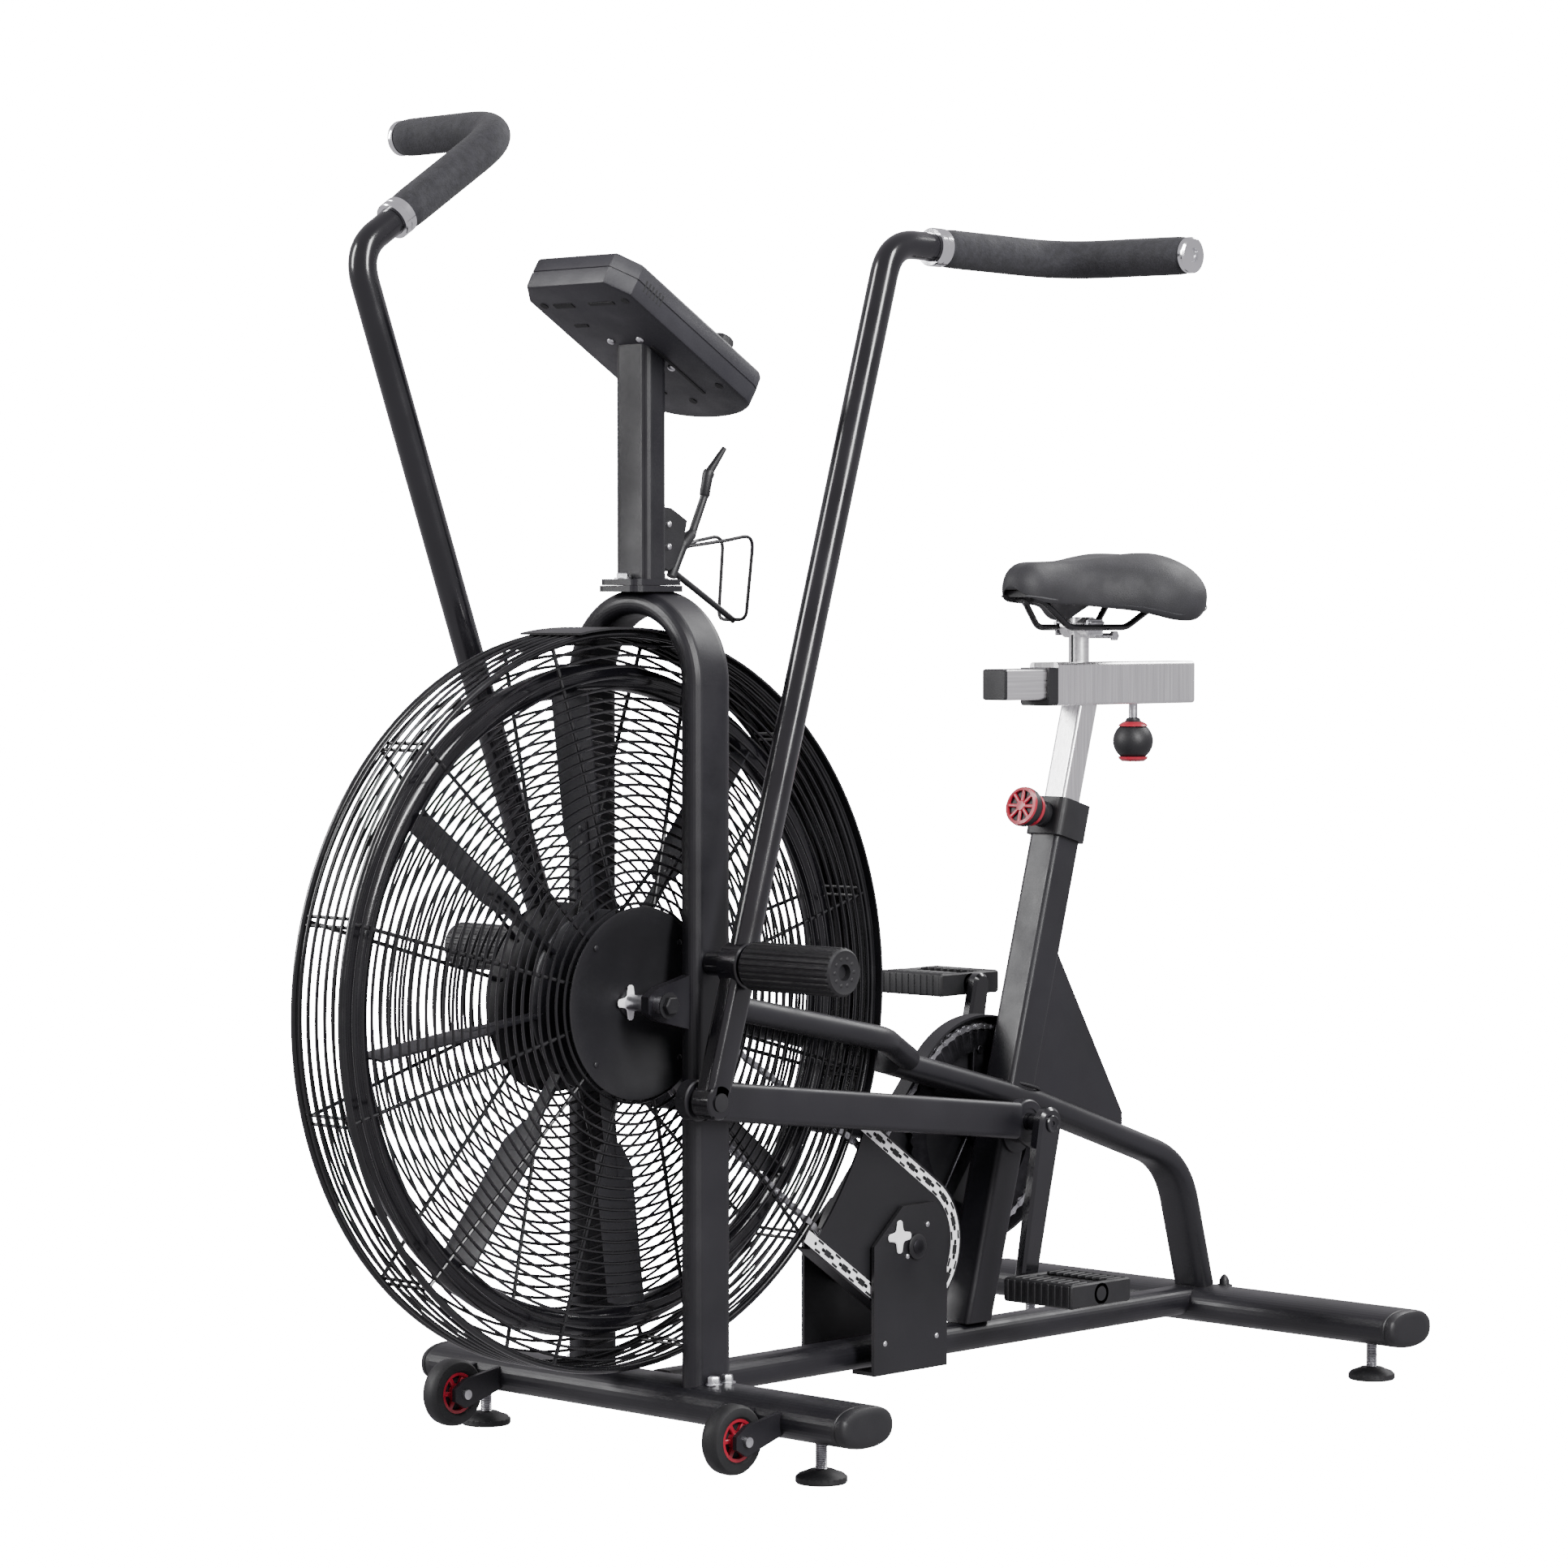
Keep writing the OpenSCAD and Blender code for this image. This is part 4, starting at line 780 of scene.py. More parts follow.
def drive():
    """Chains, jackshaft and chainring behind the covers."""
    crank, jack, fan_at = vec(0, *CRANK[1:]), vec(0, *JACK[1:]), vec(0, *FAN[1:])
    chains = Shape()
    chain(chains, -33.5 * MM, jack, crank, 36 * MM, 106 * MM)
    chain(chains, 33.5 * MM, jack, fan_at, 54 * MM, 30 * MM)
    piece("roller_chains", chains, M["steel"], "frame", ["drive_chains"], angle=30)
    shaft = Shape()
    shaft.lathe(scaled([(-56, 6), (-55, 7.9), (55, 7.9), (56, 6)]), jack, X_AXIS, 32)
    sprocket(shaft, jack, 36 * MM, -35 * MM, -32 * MM, 18, 7 * MM)
    sprocket(shaft, jack, 54 * MM, 32 * MM, 35 * MM, 27, 7 * MM)
    for s in (1, -1):
        shaft.lathe(scaled([(s * 26, 7), (s * 26, 15), (s * 38, 15), (s * 38, 7)]), jack, X_AXIS, 32,
                    loop=True)
    piece("intermediate_shaft", shaft, M["gunmetal"], "jack", ["jackshaft"])
    ring_gear = Shape()
    sprocket(ring_gear, crank, 106 * MM, -35 * MM, -32 * MM, 53, 82 * MM)
    ring_gear.lathe(scaled([(-45.9, 8), (-45.9, 9.9), (45.9, 9.9), (45.9, 8)]), crank, X_AXIS, 32)
    for i in range(5):
        a = 2 * math.pi * i / 5
        out = vec(0, -math.sin(a), math.cos(a))
        across = np.cross(X_AXIS, out)
        arm = [(0.004, -0.011), (0.086, -0.008), (0.086, 0.008), (0.004, 0.011)]

        def place(u, v, w):
            return crank + vec(w, 0, 0) + out * u + across * v

        ring_gear.prism(arm, place, -36 * MM, -31.5 * MM, 0.8 * MM)
        ring_gear.hexagon(crank + out * 84 * MM + vec(-31.6 * MM, 0, 0), X_AXIS, 8 * MM, 3 * MM, washer=False)
    ring_gear.lathe(scaled([(-38, 9), (-38, 20), (-29, 20), (-29, 9)]), crank, X_AXIS, 40, loop=True)
    piece("crank_sprocket", ring_gear, M["gunmetal"], "crank", ["chainring"])


def chain_band():
    """The bright band of chain links along the near chain guard, as thin raised plates."""
    x = high("chain_guard")[0] + 0.02 * MM
    jack, fan_at = vec(x, *JACK[1:]), vec(x, *FAN[1:])
    d = unit(fan_at - jack)
    n = vec(0, -d[2], d[1])
    r = 67 * MM
    run = 142 * MM
    start = math.atan2(n[2], n[1])
    line = [jack - n * r + d * run * (1 - k) for k in np.linspace(0, 1, 12)]
    line += [jack + vec(0, math.cos(start + math.pi - a), math.sin(start + math.pi - a)) * r
             for a in np.linspace(0, math.pi, 30)[1:]]
    line += [jack + n * r + d * run * k for k in np.linspace(0, 1, 12)[1:]]
    line = np.array(line)
    along = np.concatenate([[0], np.cumsum(np.linalg.norm(np.diff(line, axis=0), axis=1))])

    def at(s):
        return np.array([np.interp(s, along, line[:, i]) for i in range(3)])

    band = Shape()
    band.sweep(line, scaled([(-6.6, -0.1), (6.6, -0.1), (6.6, 0.35), (-6.6, 0.35)]), up=X_AXIS)
    pitch = 15 * MM
    for i in range(int(along[-1] / pitch)):
        a, b = at(i * pitch + 1 * MM), at((i + 1) * pitch - 1 * MM)
        e = unit(b - a)
        m = vec(0, -e[2], e[1])
        band.paint(1)
        middle = (a + b) / 2
        if i % 2:
            for s in (1, -1):
                band.block(middle + m * s * 5 * MM + vec(0.4 * MM, 0, 0), mm(0.5, 9, 2.4), 0.1 * MM,
                           (X_AXIS, e, m))
        else:
            band.block(middle + vec(0.4 * MM, 0, 0), mm(0.5, 9.5, 6), 0.1 * MM, (X_AXIS, e, m))
        for q in (a, b):
            band.lathe(scaled([(0.3, 1), (0.3, 1.9), (0.6, 1.9), (0.6, 1)]), q, X_AXIS, 14)
    piece("chain_pattern_band", band, [M["bright"], M["dark"]], "frame", ["chain_trim"],
          angle=20)


def guard_details():
    """Screws, boss and four-armed clip on each face of the jackshaft bracket; the clip's white is a painted
    highlight.
    """
    shape = Shape()
    lo, hi = low("jack_bracket"), high("jack_bracket")
    corners = [(0.016, 0.032), (0.094, 0.032), (0.050, 0.118), (0.080, 0.148)]
    for side in (1, -1):
        face = side * hi[0]
        shape.paint(0)
        for dy, dz in corners:
            shape.dome((face - side * 0.2 * MM, lo[1] + dy, lo[2] + dz), (side, 0, 0), 3 * MM, 2 * MM)
        boss = [(0, 0.5), (0, 13), (2.4, 13), (3.4, 11), (3.4, 0.5)]
        shape.paint(1).lathe([mm(x, r) for x, r in boss], (face, JACK[1], JACK[2]), (side, 0, 0), 32,
                             loop=True)
        clip = vec(face, JACK[1] - 26 * MM, JACK[2] + 12 * MM)
        # The clip's white is a painted highlight: the glint of a silver clip.
        shape.paint(2)
        glint_star_clip(shape, clip, side, 17 * MM, 2 * MM)
    piece("bracket_screws", shape, [M["zinc"], M["guard"], M["bright"]], "frame")


def capsule(a, b, ra, rb, steps=18):
    """Outline round two circles in YZ, as (y, z) pairs."""
    a, b = np.asarray(a, float), np.asarray(b, float)
    d = unit(b - a)
    n = vec(-d[1], d[0])
    phi = math.acos((ra - rb) / np.linalg.norm(b - a))
    out = [a + ra * (math.cos(k) * d + math.sin(k) * n) for k in np.linspace(phi, 2 * math.pi - phi, steps)]
    out += [b + rb * (math.cos(k) * d + math.sin(k) * n) for k in np.linspace(-phi, phi, steps)]
    return out


def cranks():
    """Crank arms with their throws for the push rods."""
    for name, side in SIDES:
        pin = joint_at(f"rod_{name}_pivot")
        pedal = joint_at(f"pedal_{name}_spin")
        shape = Shape()

        def place(a, b, x):
            return vec(side * x, a, b)

        shape.prism(capsule(CRANK[1:], pin[1:], 18 * MM, 16 * MM), place, 46.01 * MM, 53 * MM, 1.2 * MM)
        shape.lathe(scaled([(side * 52, 8.9), (side * 89, 8.9)]), vec(0, *pin[1:]), X_AXIS, 32)
        shape.prism(capsule(pin[1:], pedal[1:], 17 * MM, 12 * MM), place, 88 * MM, 102 * MM, 3 * MM)
        shape.lathe(scaled([(side * 101, 6), (side * 193.5, 5.8), (side * 194, 5)]), vec(0, *pedal[1:]),
                    X_AXIS, 24)
        cap = [(102, 3), (102, 9), (103.5, 9), (104.2, 8), (103, 6), (103, 3)]
        shape.lathe([mm(side * x, r) for x, r in cap], vec(0, *pin[1:]), X_AXIS, 32, loop=True)
        piece("crank_arm_" + name, shape, M["gloss"], "crank", ["crank_" + name])


def pedals():
    """Ribbed pedal platforms."""
    for name, side in SIDES:
        c = joint_at(f"pedal_{name}_spin")
        shape = Shape()
        inner, outer = 106 * MM, 198 * MM
        mid = side * (inner + outer) / 2
        for x in (inner + 3.5 * MM, outer - 3.5 * MM):
            shape.block((side * x, c[1], c[2]), mm(7, 94, 24), 1.6 * MM)
        shape.lathe(scaled([(-46, 7.5), (-46, 11), (46, 11), (46, 7.5)]), (mid, c[1], c[2]), X_AXIS, 32,
                    loop=True)
        for s in (-1, 1):
            shape.block((mid, c[1] + s * 42 * MM, c[2]), mm(90, 9, 25), 1.6 * MM)
            for i in range(10):
                shape.block((mid + (i - 4.5) * 9 * MM, c[1] + s * 46.6 * MM, c[2]), mm(4, 2.2, 22), 0.6 * MM)
            for dz in (-1, 1):
                for i in range(9):
                    shape.block((mid + (i - 4) * 9.6 * MM, c[1] + s * 27 * MM, c[2] + dz * 11 * MM),
                                mm(4.2, 24, 3.6), 0.7 * MM)
            shape.block((mid, c[1] + s * 26 * MM, c[2]), mm(88, 26, 12), 1.4 * MM)
        shape.paint(1).dome((side * (outer - 0.6 * MM), c[1], c[2]), (side, 0, 0), 9 * MM, 0.6 * MM)
        piece("pedal_platform_" + name, shape, [M["rubber"], M["plastic"]], "pedal_" + name,
              ["pedal_" + name])


def push_rods():
    """Rods between the crank throws and the levers' feet."""
    for name, side in SIDES:
        node = "push_rod_" + name
        rear = joint_at(f"rod_{name}_pivot")
        front = vec(side * 108 * MM, PIVOT[1] - side * LEVER_FOOT * math.sin(LEAN),
                    PIVOT[2] - LEVER_FOOT * math.cos(LEAN))
        back = vec(side * 63 * MM, rear[1], rear[2])
        u = unit(front - back)
        shape = Shape()
        shape.sweep([back + u * 15 * MM, front - u * 15 * MM], rounded_rect(16 * MM, 38 * MM, 6 * MM),
                    up=Z_AXIS)
        for at, r in ((back, 23 * MM), (front, 20 * MM)):
            shape.lathe([(-8 * MM, r - 9 * MM), (-8 * MM, r - 1.5 * MM), (-6.5 * MM, r), (6.5 * MM, r),
                         (8 * MM, r - 1.5 * MM), (8 * MM, r - 9 * MM)], at, X_AXIS, 48, loop=True)
            shape.lathe([(-7 * MM, 9.2 * MM if at is back else 2 * MM), (-7 * MM, r - 8 * MM),
                         (7 * MM, r - 8 * MM), (7 * MM, 9.2 * MM if at is back else 2 * MM)], at, X_AXIS, 32,
                        loop=True)
        piece("connecting_rod_" + name, shape, M["powder"], "rod_" + name, [node])


# ---------------------------------------------------------------- levers

LEVER_TOP = vec(153, -25, 722) * MM
LEVER_GRIP = vec(161, 213, 789) * MM
LEVER_END = vec(322, 217, 788) * MM
COLLAR = LEVER_TOP + (LEVER_GRIP - LEVER_TOP) * 0.27


def lever_space(side):
    """Turns a point measured from the lever's pivot, in its middle position, to where it rests."""
    c, s = math.cos(-side * LEAN), math.sin(-side * LEAN)

    def place(p):
        return vec(side * p[0], PIVOT[1] + p[1] * c - p[2] * s, PIVOT[2] + p[1] * s + p[2] * c)

    return place


def levers():
    """Hand levers with foam grips, collars and end caps."""
    for name, side in SIDES:
        to_row = lever_space(side)
        body = "lever_" + name
        out = vec(side, 0, 0)
        pivot = vec(0, *PIVOT[1:])
        shape = Shape()
        lower = [to_row(vec(131, 0, z) * MM) for z in (-12, -132)]
        shape.sweep(lower, rounded_rect(24 * MM, 30 * MM, 7 * MM),
                    up=unit(to_row(vec(0, 1, 0)) - to_row(vec(0, 0, 0))))
        path = rounded_path([to_row(p) for p in (vec(131, 0, 8) * MM, LEVER_TOP, COLLAR)], 60 * MM, 16)
        shape.tube(path, 14 * MM, 32)
        foot = to_row(vec(0, 0, -LEVER_FOOT))
        for origin, r, x0, x1, bore in ((pivot, 22, 119, 145, 12.3), (foot, 17, 119, 143, 1)):
            shape.lathe(scaled([(x0, bore), (x0, r - 1.5), (x0 + 1.5, r), (x1 - 1.5, r), (x1, r - 1.5),
                                (x1, bore)]), vec(0, *origin[1:]), out, 48, loop=True)
        piece("lever_tube_" + name, shape, M["gloss"], body, ["lever_" + name])
        bolt = Shape()
        bolt.lathe(scaled([(142.6, 4), (142.6, 9), (144.6, 9), (145, 5)]), vec(0, *foot[1:]), out, 24)
        piece("lever_foot_cap_" + name, bolt, M["plastic"], body)

        u, v = unit(LEVER_GRIP - LEVER_TOP), unit(LEVER_END - LEVER_GRIP)
        path = rounded_path([to_row(p) for p in (COLLAR + u * 5 * MM, LEVER_GRIP, LEVER_END)], 62 * MM, 22)
        dense = []
        for a, b in zip(path, path[1:]):
            count = max(1, int(np.linalg.norm(b - a) / (5 * MM)))
            dense += [a + (b - a) * k / count for k in range(count)]
        dense.append(path[-1])
        along = np.concatenate([[0], np.cumsum([np.linalg.norm(b - a) for a, b in zip(dense, dense[1:])])])
        ease = [1 - 0.13 * math.exp(-min(s, along[-1] - s) / (3.5 * MM)) for s in along]
        grip = Shape()
        grip.tube(dense, 19 * MM, 36, scale=ease)
        piece("foam_grip_" + name, grip, M["foam"], body, ["grip_" + name], angle=60)

        trim = Shape()
        at, along_grip = to_row(COLLAR), unit(to_row(COLLAR + u) - to_row(COLLAR))
        trim.lathe(scaled([(-11, 14.3), (-11, 18), (-10, 19), (-4, 19), (-3.4, 18.3), (-2.8, 19), (4, 19),
                           (4.9, 18), (4.9, 14.3)]), at, along_grip, 48, loop=True)
        at, along_grip = to_row(LEVER_END), unit(to_row(LEVER_END + v) - to_row(LEVER_END))
        trim.lathe(scaled([(0, 12), (0, 17.4), (1, 18), (6, 18), (7.6, 16), (7.8, 7), (5, 6), (4.8, 2)]), at,
                   along_grip, 48)
        piece("grip_collars_" + name, trim, M["chrome"], body, ["lever_trim_" + name])


def foot_pegs():
    """Ribbed rubber pegs on the levers' pivot."""
    shape = Shape()
    for side in (1, -1):
        out = vec(side, 0, 0)
        origin = vec(0, *PIVOT[1:])
        shape.paint(1).lathe(scaled([(91.1, 11), (92, 11.9), (151, 11.9)]), origin, out, 32)
        shape.paint(0)
        steps = 120
        sections = []
        stations = [(149, 17, 0), (149, 21.4, 0), (150.5, 22.6, 0), (152, 22.6, 1), (264, 22.6, 1),
                    (266, 22.4, 0), (268, 20.6, 0), (267.4, 18, 0), (267.4, 8, 0), (262, 7, 0)]
        for x, r, ribbed in stations:
            row = []
            for i in range(steps):
                a = 2 * math.pi * i / steps
                k = (r + (0.9 if i % 5 in (0, 1, 2) else -0.6) * ribbed) * MM
                row.append(vec(side * x * MM, PIVOT[1] + k * math.cos(a), PIVOT[2] + k * math.sin(a)))
            sections.append(row)
        shape.loft(sections)
        for i in range(10):
            a = 2 * math.pi * i / 10
            shape.dome((side * 267.2 * MM, PIVOT[1] + 13 * MM * math.cos(a),
                        PIVOT[2] + 13 * MM * math.sin(a)), (side, 0, 0), 2 * MM, 0.8 * MM, 12)
    piece("foot_peg_rubbers", shape, [M["rubber"], M["gloss"]], "frame", ["foot_pegs"], angle=28)


# ---------------------------------------------------------------- console

def console():
    """Console case, display, keys and dial."""
    hub = joint_at("dial_turn")
    z_axis = unit(JOINTS["dial_turn"]["axis"])
    y_axis = unit(np.cross(z_axis, X_AXIS))
    dial_xy, half_h = vec(46, 50) * MM, 18 * MM
    centre = hub - vec(dial_xy[0], 0, 0) - y_axis * dial_xy[1] - z_axis * half_h

    def place(a, b, z):
        return centre + vec(a, 0, 0) + y_axis * b + z_axis * z

    length, width = 240 * MM, 142 * MM
    outline = [(-width / 2, 24 * MM - length / 2), (18 * MM - width / 2, -length / 2),
               (width / 2 - 18 * MM, -length / 2), (width / 2, 24 * MM - length / 2)]
    outline += [(width / 2 * math.cos(a), length / 2 - 34 * MM + 30 * MM * math.sin(a))
                for a in np.linspace(0, math.pi, 25)]
    case = Shape()
    levels = [(-half_h, 4 * MM), (-half_h + 1 * MM, 1.4 * MM), (-half_h + 3 * MM, 0.4 * MM), (-1 * MM, 0),
              mm(-0.6, 0.9), mm(0.4, 0.9), (0.8 * MM, 0), (half_h - 4 * MM, 0.6 * MM),
              (half_h - 1.4 * MM, 2.4 * MM), (half_h, 6 * MM)]
    case.loft([[place(a, b, z) for a, b in inset(outline, i)] for z, i in levels])
    # Slots, screw holes and side vents are flat near-black patches: painted shade in place of their hollows.
    case.paint(1)
    under = -half_h - 0.25 * MM
    for x, y, w, l in ((-30, -86, 26, 7), (22, -86, 34, 5), (-36, -52, 18, 4.5), (26, 30, 4, 84),
                       (-26, 40, 4, 60)):
        case.block(place(x * MM, y * MM, under), mm(w, l, 1), 0.3 * MM, (X_AXIS, y_axis, z_axis))
    for x, y in ((-56, -88), (56, -88), (-56, 60), (56, 60), (0, 84)):
        case.lathe(scaled([(-0.6, 2), (-0.6, 4.2), (0.3, 4.2), (0.3, 2)]), place(x * MM, y * MM, -half_h),
                   z_axis, 20)
    for x in (-1, 1):
        for i in range(6):
            case.block(place(x * (width / 2 - 0.3 * MM), (i * 5 - 84) * MM, 0), mm(0.8, 2, 12), 0.2 * MM,
                       (X_AXIS, y_axis, z_axis))
    case.paint(2)
    for x, y in ((-20, -24), (20, -24), (-20, 26), (20, 26)):
        case.dome(place(x * MM, y * MM, -half_h - 0.2 * MM), -z_axis, 4.2 * MM, 2.6 * MM)
    piece("console_shell", case, [M["console"], M["dark"], M["zinc"]], "frame", ["console_case"])

    face = Shape()
    face.block(place(0, -38.5 * MM, half_h + 0.1 * MM), mm(102, 128, 1.6), 0.5 * MM, (X_AXIS, y_axis, z_axis))
    face.paint(1).block(place(0, -52 * MM, half_h + 0.9 * MM), mm(84, 82, 0.6), 0.2 * MM,
                        (X_AXIS, y_axis, z_axis))
    face.paint(0)
    for x, y in ((-26, 44), (0, 44), (-26, 62), (0, 62)):
        face.block(place(x * MM, y * MM, half_h + 0.8 * MM), mm(19, 10, 2.4), 0.8 * MM,
                   (X_AXIS, y_axis, z_axis))
    piece("console_display", face, [M["screen"], M["lcd"]], "frame", ["console_screen"])

    dial = Shape()
    steps = 60
    rows = []
    for z, r, rib in ((-7, 3.9, 0), (0.3, 3.9, 0), (0.3, 11, 0), (1, 12, 0), (2, 11.8, 1), (10, 11.4, 1),
                      (12.4, 10.6, 0),
                      (13.6, 9, 0), (14, 4, 0)):
        rows.append([hub + (vec(1, 0, 0) * c + y_axis * s) * (r - 0.5 * rib * (i % 3 == 0)) * MM
                     + z_axis * z * MM for i, (c, s) in enumerate(circle(1, steps))])
    dial.loft(rows)
    piece("console_knob", dial, M["plastic"], "dial", ["console_dial"])


def bottle_cage():
    """Wire bottle holder behind the mast."""
    shape = Shape()
    bracket = [(-222.6, 872), (-222.6, 926), (-200, 924), (-178, 912), (-188, 870), (-204, 862)]
    bracket = [mm(y, z) for y, z in bracket]
    shape.prism(bracket, yz_place, -4 * MM, 4 * MM, 0.8 * MM)
    for z in (886, 908):
        shape.paint(1).dome((4 * MM, -0.204, z * MM), X_AXIS, 3.5 * MM, 2.4 * MM).paint(0)
    spine = rounded_path([vec(0, y, z) * MM for y, z in ((-197, 857), (-181, 888), (-168, 900), (-151, 936),
                                                         (-146, 958), (-123, 984))], 16 * MM, 6)
    width = [0.84 + 0.16 * math.sin(9 * k) - 0.45 * max(0, k - 0.93) / 0.07
             for k in np.linspace(0, 1, len(spine))]
    shape.sweep(spine, circle(6 * MM, 20), up=(0, -1, 0.5), scale=width)
    for s in (1, -1):
        hoop = [(0, -180, 886), (s * 21, -140, 893), (s * 21, -103, 899), (s * 19, -112, 815), (0, -112, 815)]
        shape.tube(rounded_path([np.array(p) * MM for p in hoop], 12 * MM, 8), 1.8 * MM, 12)
    stem = [(0, -198, 864), (0, -150, 837), (0, -110, 814)]
    shape.tube(rounded_path([np.array(p) * MM for p in stem], 20 * MM, 5), 3.2 * MM, 14)
    piece("bottle_holder", shape, [M["plastic"], M["zinc"]], "frame", ["bottle_cage"])


# ---------------------------------------------------------------- saddle and its slides

def knob_details():
    """Lock knobs of the saddle slide and the post."""
    knob = joint_at("knob_turn")
    lo, hi = low("carriage_knob"), high("carriage_knob")
    shape = Shape()
    base = (0, knob[1], 0)
    z0 = lo[2]

    def stage(rows):
        return [(z0 + z * MM, r * MM) for z, r in rows]

    ball = [(22.5 - 21.5 * math.cos(a), 21.9 * math.sin(a)) for a in np.linspace(0.62, 2.55, 15)]
    shape.lathe(stage(ball), base, Z_AXIS, 48)
    shape.paint(1)
    shape.lathe(stage([(0.2, 8), (0.4, 12), (3, 15.5), (5.6, 16.2), (5.4, 10)]), base, Z_AXIS, 48)
    shape.lathe(stage([(38.4, 12), (38.6, 16.4), (41, 14.6), (43.4, 11), (43.6, 7)]), base, Z_AXIS, 48)
    shape.paint(0).lathe(stage([(43, 10), (45, 8), (47, 7.4), (48, 5)]), base, Z_AXIS, 32)
    shape.paint(2).lathe([(z0 + 45 * MM, 4.8 * MM), (hi[2] - 0.5 * MM, 4.8 * MM), (hi[2], 4 * MM)], base,
                         Z_AXIS, 24)
    piece("slide_lock_knob", shape, [M["plastic"], M["red"], M["zinc"]], "knob", ["carriage_knob"])

    pull = unit(JOINTS["pop_pin_pull"]["axis"])
    slide = unit(JOINTS["post_slide"]["axis"])
    middle = vec(0, 0.293 + (0.6005 - 0.275) * math.tan(math.asin(slide[1])), 0.6005) + pull * 27 * MM
    pin = Shape()
    pin.paint(2).lathe(scaled([(-11.8, 3.6), (-10, 4.9), (2, 4.9)]), middle, pull, 24)
    pin.paint(0).lathe(scaled([(0.2, 5), (0.2, 14), (5, 14), (6, 12.4), (14, 11.6), (17, 13), (19, 16),
                               (26, 20.6), (32, 21.4), (34, 20.6), (33.4, 15), (33, 5)]), middle, pull, 48)
    pin.paint(1).lathe(scaled([(17, 12), (17, 17.8), (20.6, 17.8), (20.6, 12)]), middle, pull, 48, loop=True)
    pin.lathe(scaled([(34, 17), (34, 21), (36.4, 20.4), (37, 17)]), middle, pull, 48, loop=True)
    u, v = basis(pull)
    for i in range(8):
        a = 2 * math.pi * i / 8
        out = u * math.cos(a) + v * math.sin(a)
        pin.block(middle + pull * 35 * MM + out * 11.5 * MM, mm(13, 4, 3), 0.6 * MM,
                  (out, np.cross(pull, out), pull))
    pin.lathe(scaled([(33, 3), (36, 6), (37.4, 5), (37.6, 2)]), middle, pull, 24)
    piece("post_lock_knob", pin, [M["plastic"], M["red"], M["zinc"]], "pop_pin", ["pop_pin"])


def slider():
    """Saddle slide and its stem."""
    lo, hi = low("seat_slider"), high("seat_slider")
    z = joint_carriage()
    shape = Shape()
    w = 16.5 * MM
    outline = rounded_rect(2 * w, 2 * w, 3 * MM)
    hole = rounded_rect(2 * w - 5 * MM, 2 * w - 5 * MM, 2 * MM)

    def section(pts, y):
        return [vec(a, y, z + b) for a, b in pts]

    shape.loft([section(hole, lo[1] + 14 * MM), section(hole, lo[1] + 3 * MM),
                section(outline, lo[1] + 3 * MM), section(outline, lo[1] + 3.6 * MM),
                section(outline, hi[1] - 1 * MM), section(inset(outline, 1 * MM), hi[1])])
    shape.paint(1)
    shape.loft([section(inset(outline, 1.4 * MM), lo[1]), section(inset(outline, 0.4 * MM), lo[1] + 0.8 * MM),
                section(inset(outline, 0.2 * MM), lo[1] + 2.9 * MM),
                section(inset(hole, 0.4 * MM), lo[1] + 3 * MM), section(inset(hole, 0.4 * MM),
                                                                        lo[1] + 12 * MM)])
    stem_y = STEM_Y
    shape.paint(0)
    top = hi[2]
    shape.lathe([(z + w - 0.5 * MM, 6 * MM), (z + w - 0.5 * MM, 11 * MM), (top - 16 * MM, 11 * MM),
                 (top - 15 * MM, 10 * MM), (top - 1 * MM, 9 * MM), (top, 7 * MM)], (0, stem_y, 0), Z_AXIS, 40)
    # The near-black strip on the stem's front is painted shade.
    shape.paint(2).block((0, stem_y - 10.6 * MM, z + w + 21 * MM), mm(3, 1.4, 30), 0.3 * MM)
    shape.paint(0)
    clamp_z = 806 * MM
    for x in (-12.5, 12.5):
        shape.lathe(scaled([(-5.5, 5), (-5.5, 11), (5.5, 11), (5.5, 5)]), (x * MM, stem_y, clamp_z), X_AXIS,
                    36)
    for x in range(-6, 7, 2):
        shape.lathe(scaled([(-0.7, 5), (-0.7, 10.6), (0.7, 10.6), (0.7, 5)]), (x * MM, stem_y, clamp_z),
                    X_AXIS, 24)
    shape.paint(3)
    for s in (1, -1):
        shape.hexagon((s * 17.6 * MM, stem_y, clamp_z), (s, 0, 0), 9 * MM, 4 * MM, washer=False)
    piece("saddle_slide", shape, [M["brushed"], M["plastic"], M["dark"], M["zinc"]], "saddle",
          ["seat_slider"])


STEM_Y = 0.418


def joint_carriage():
    """Height of the carriage's centre line."""
    return float((low("carriage_bush")[2] + 23 * MM))


def rails():
    """Rail wires under the saddle."""
    shape = Shape()
    for s in (1, -1):
        points = [(10, 330, 836), (13, 344, 834), (22, 376, 806), (22, 470, 806), (34, 504, 830),
                  (40, 516, 836)]
        shape.tube(rounded_path([vec(s * x, y, z) * MM for x, y, z in points], 22 * MM, 8), 3.5 * MM, 14)
    for s in (1, -1):
        shape.paint(1).block((s * 22 * MM, STEM_Y, 806 * MM), mm(2.2, 26, 17), 0.5 * MM)
        shape.paint(1).block((s * 22 * MM, STEM_Y, 811 * MM), mm(9, 24, 3), 0.8 * MM)
    shape.paint(1).tube([vec(-30, 442, 797) * MM, vec(30, 442, 797) * MM], 3 * MM, 14)
    for s in (1, -1):
        shape.hexagon(vec(s * 27, 442, 797) * MM, (s, 0, 0), 10 * MM, 5 * MM, washer=False)
    piece("saddle_rail_wires", shape, [M["wire"], M["zinc"]], "saddle", ["saddle_rails"])


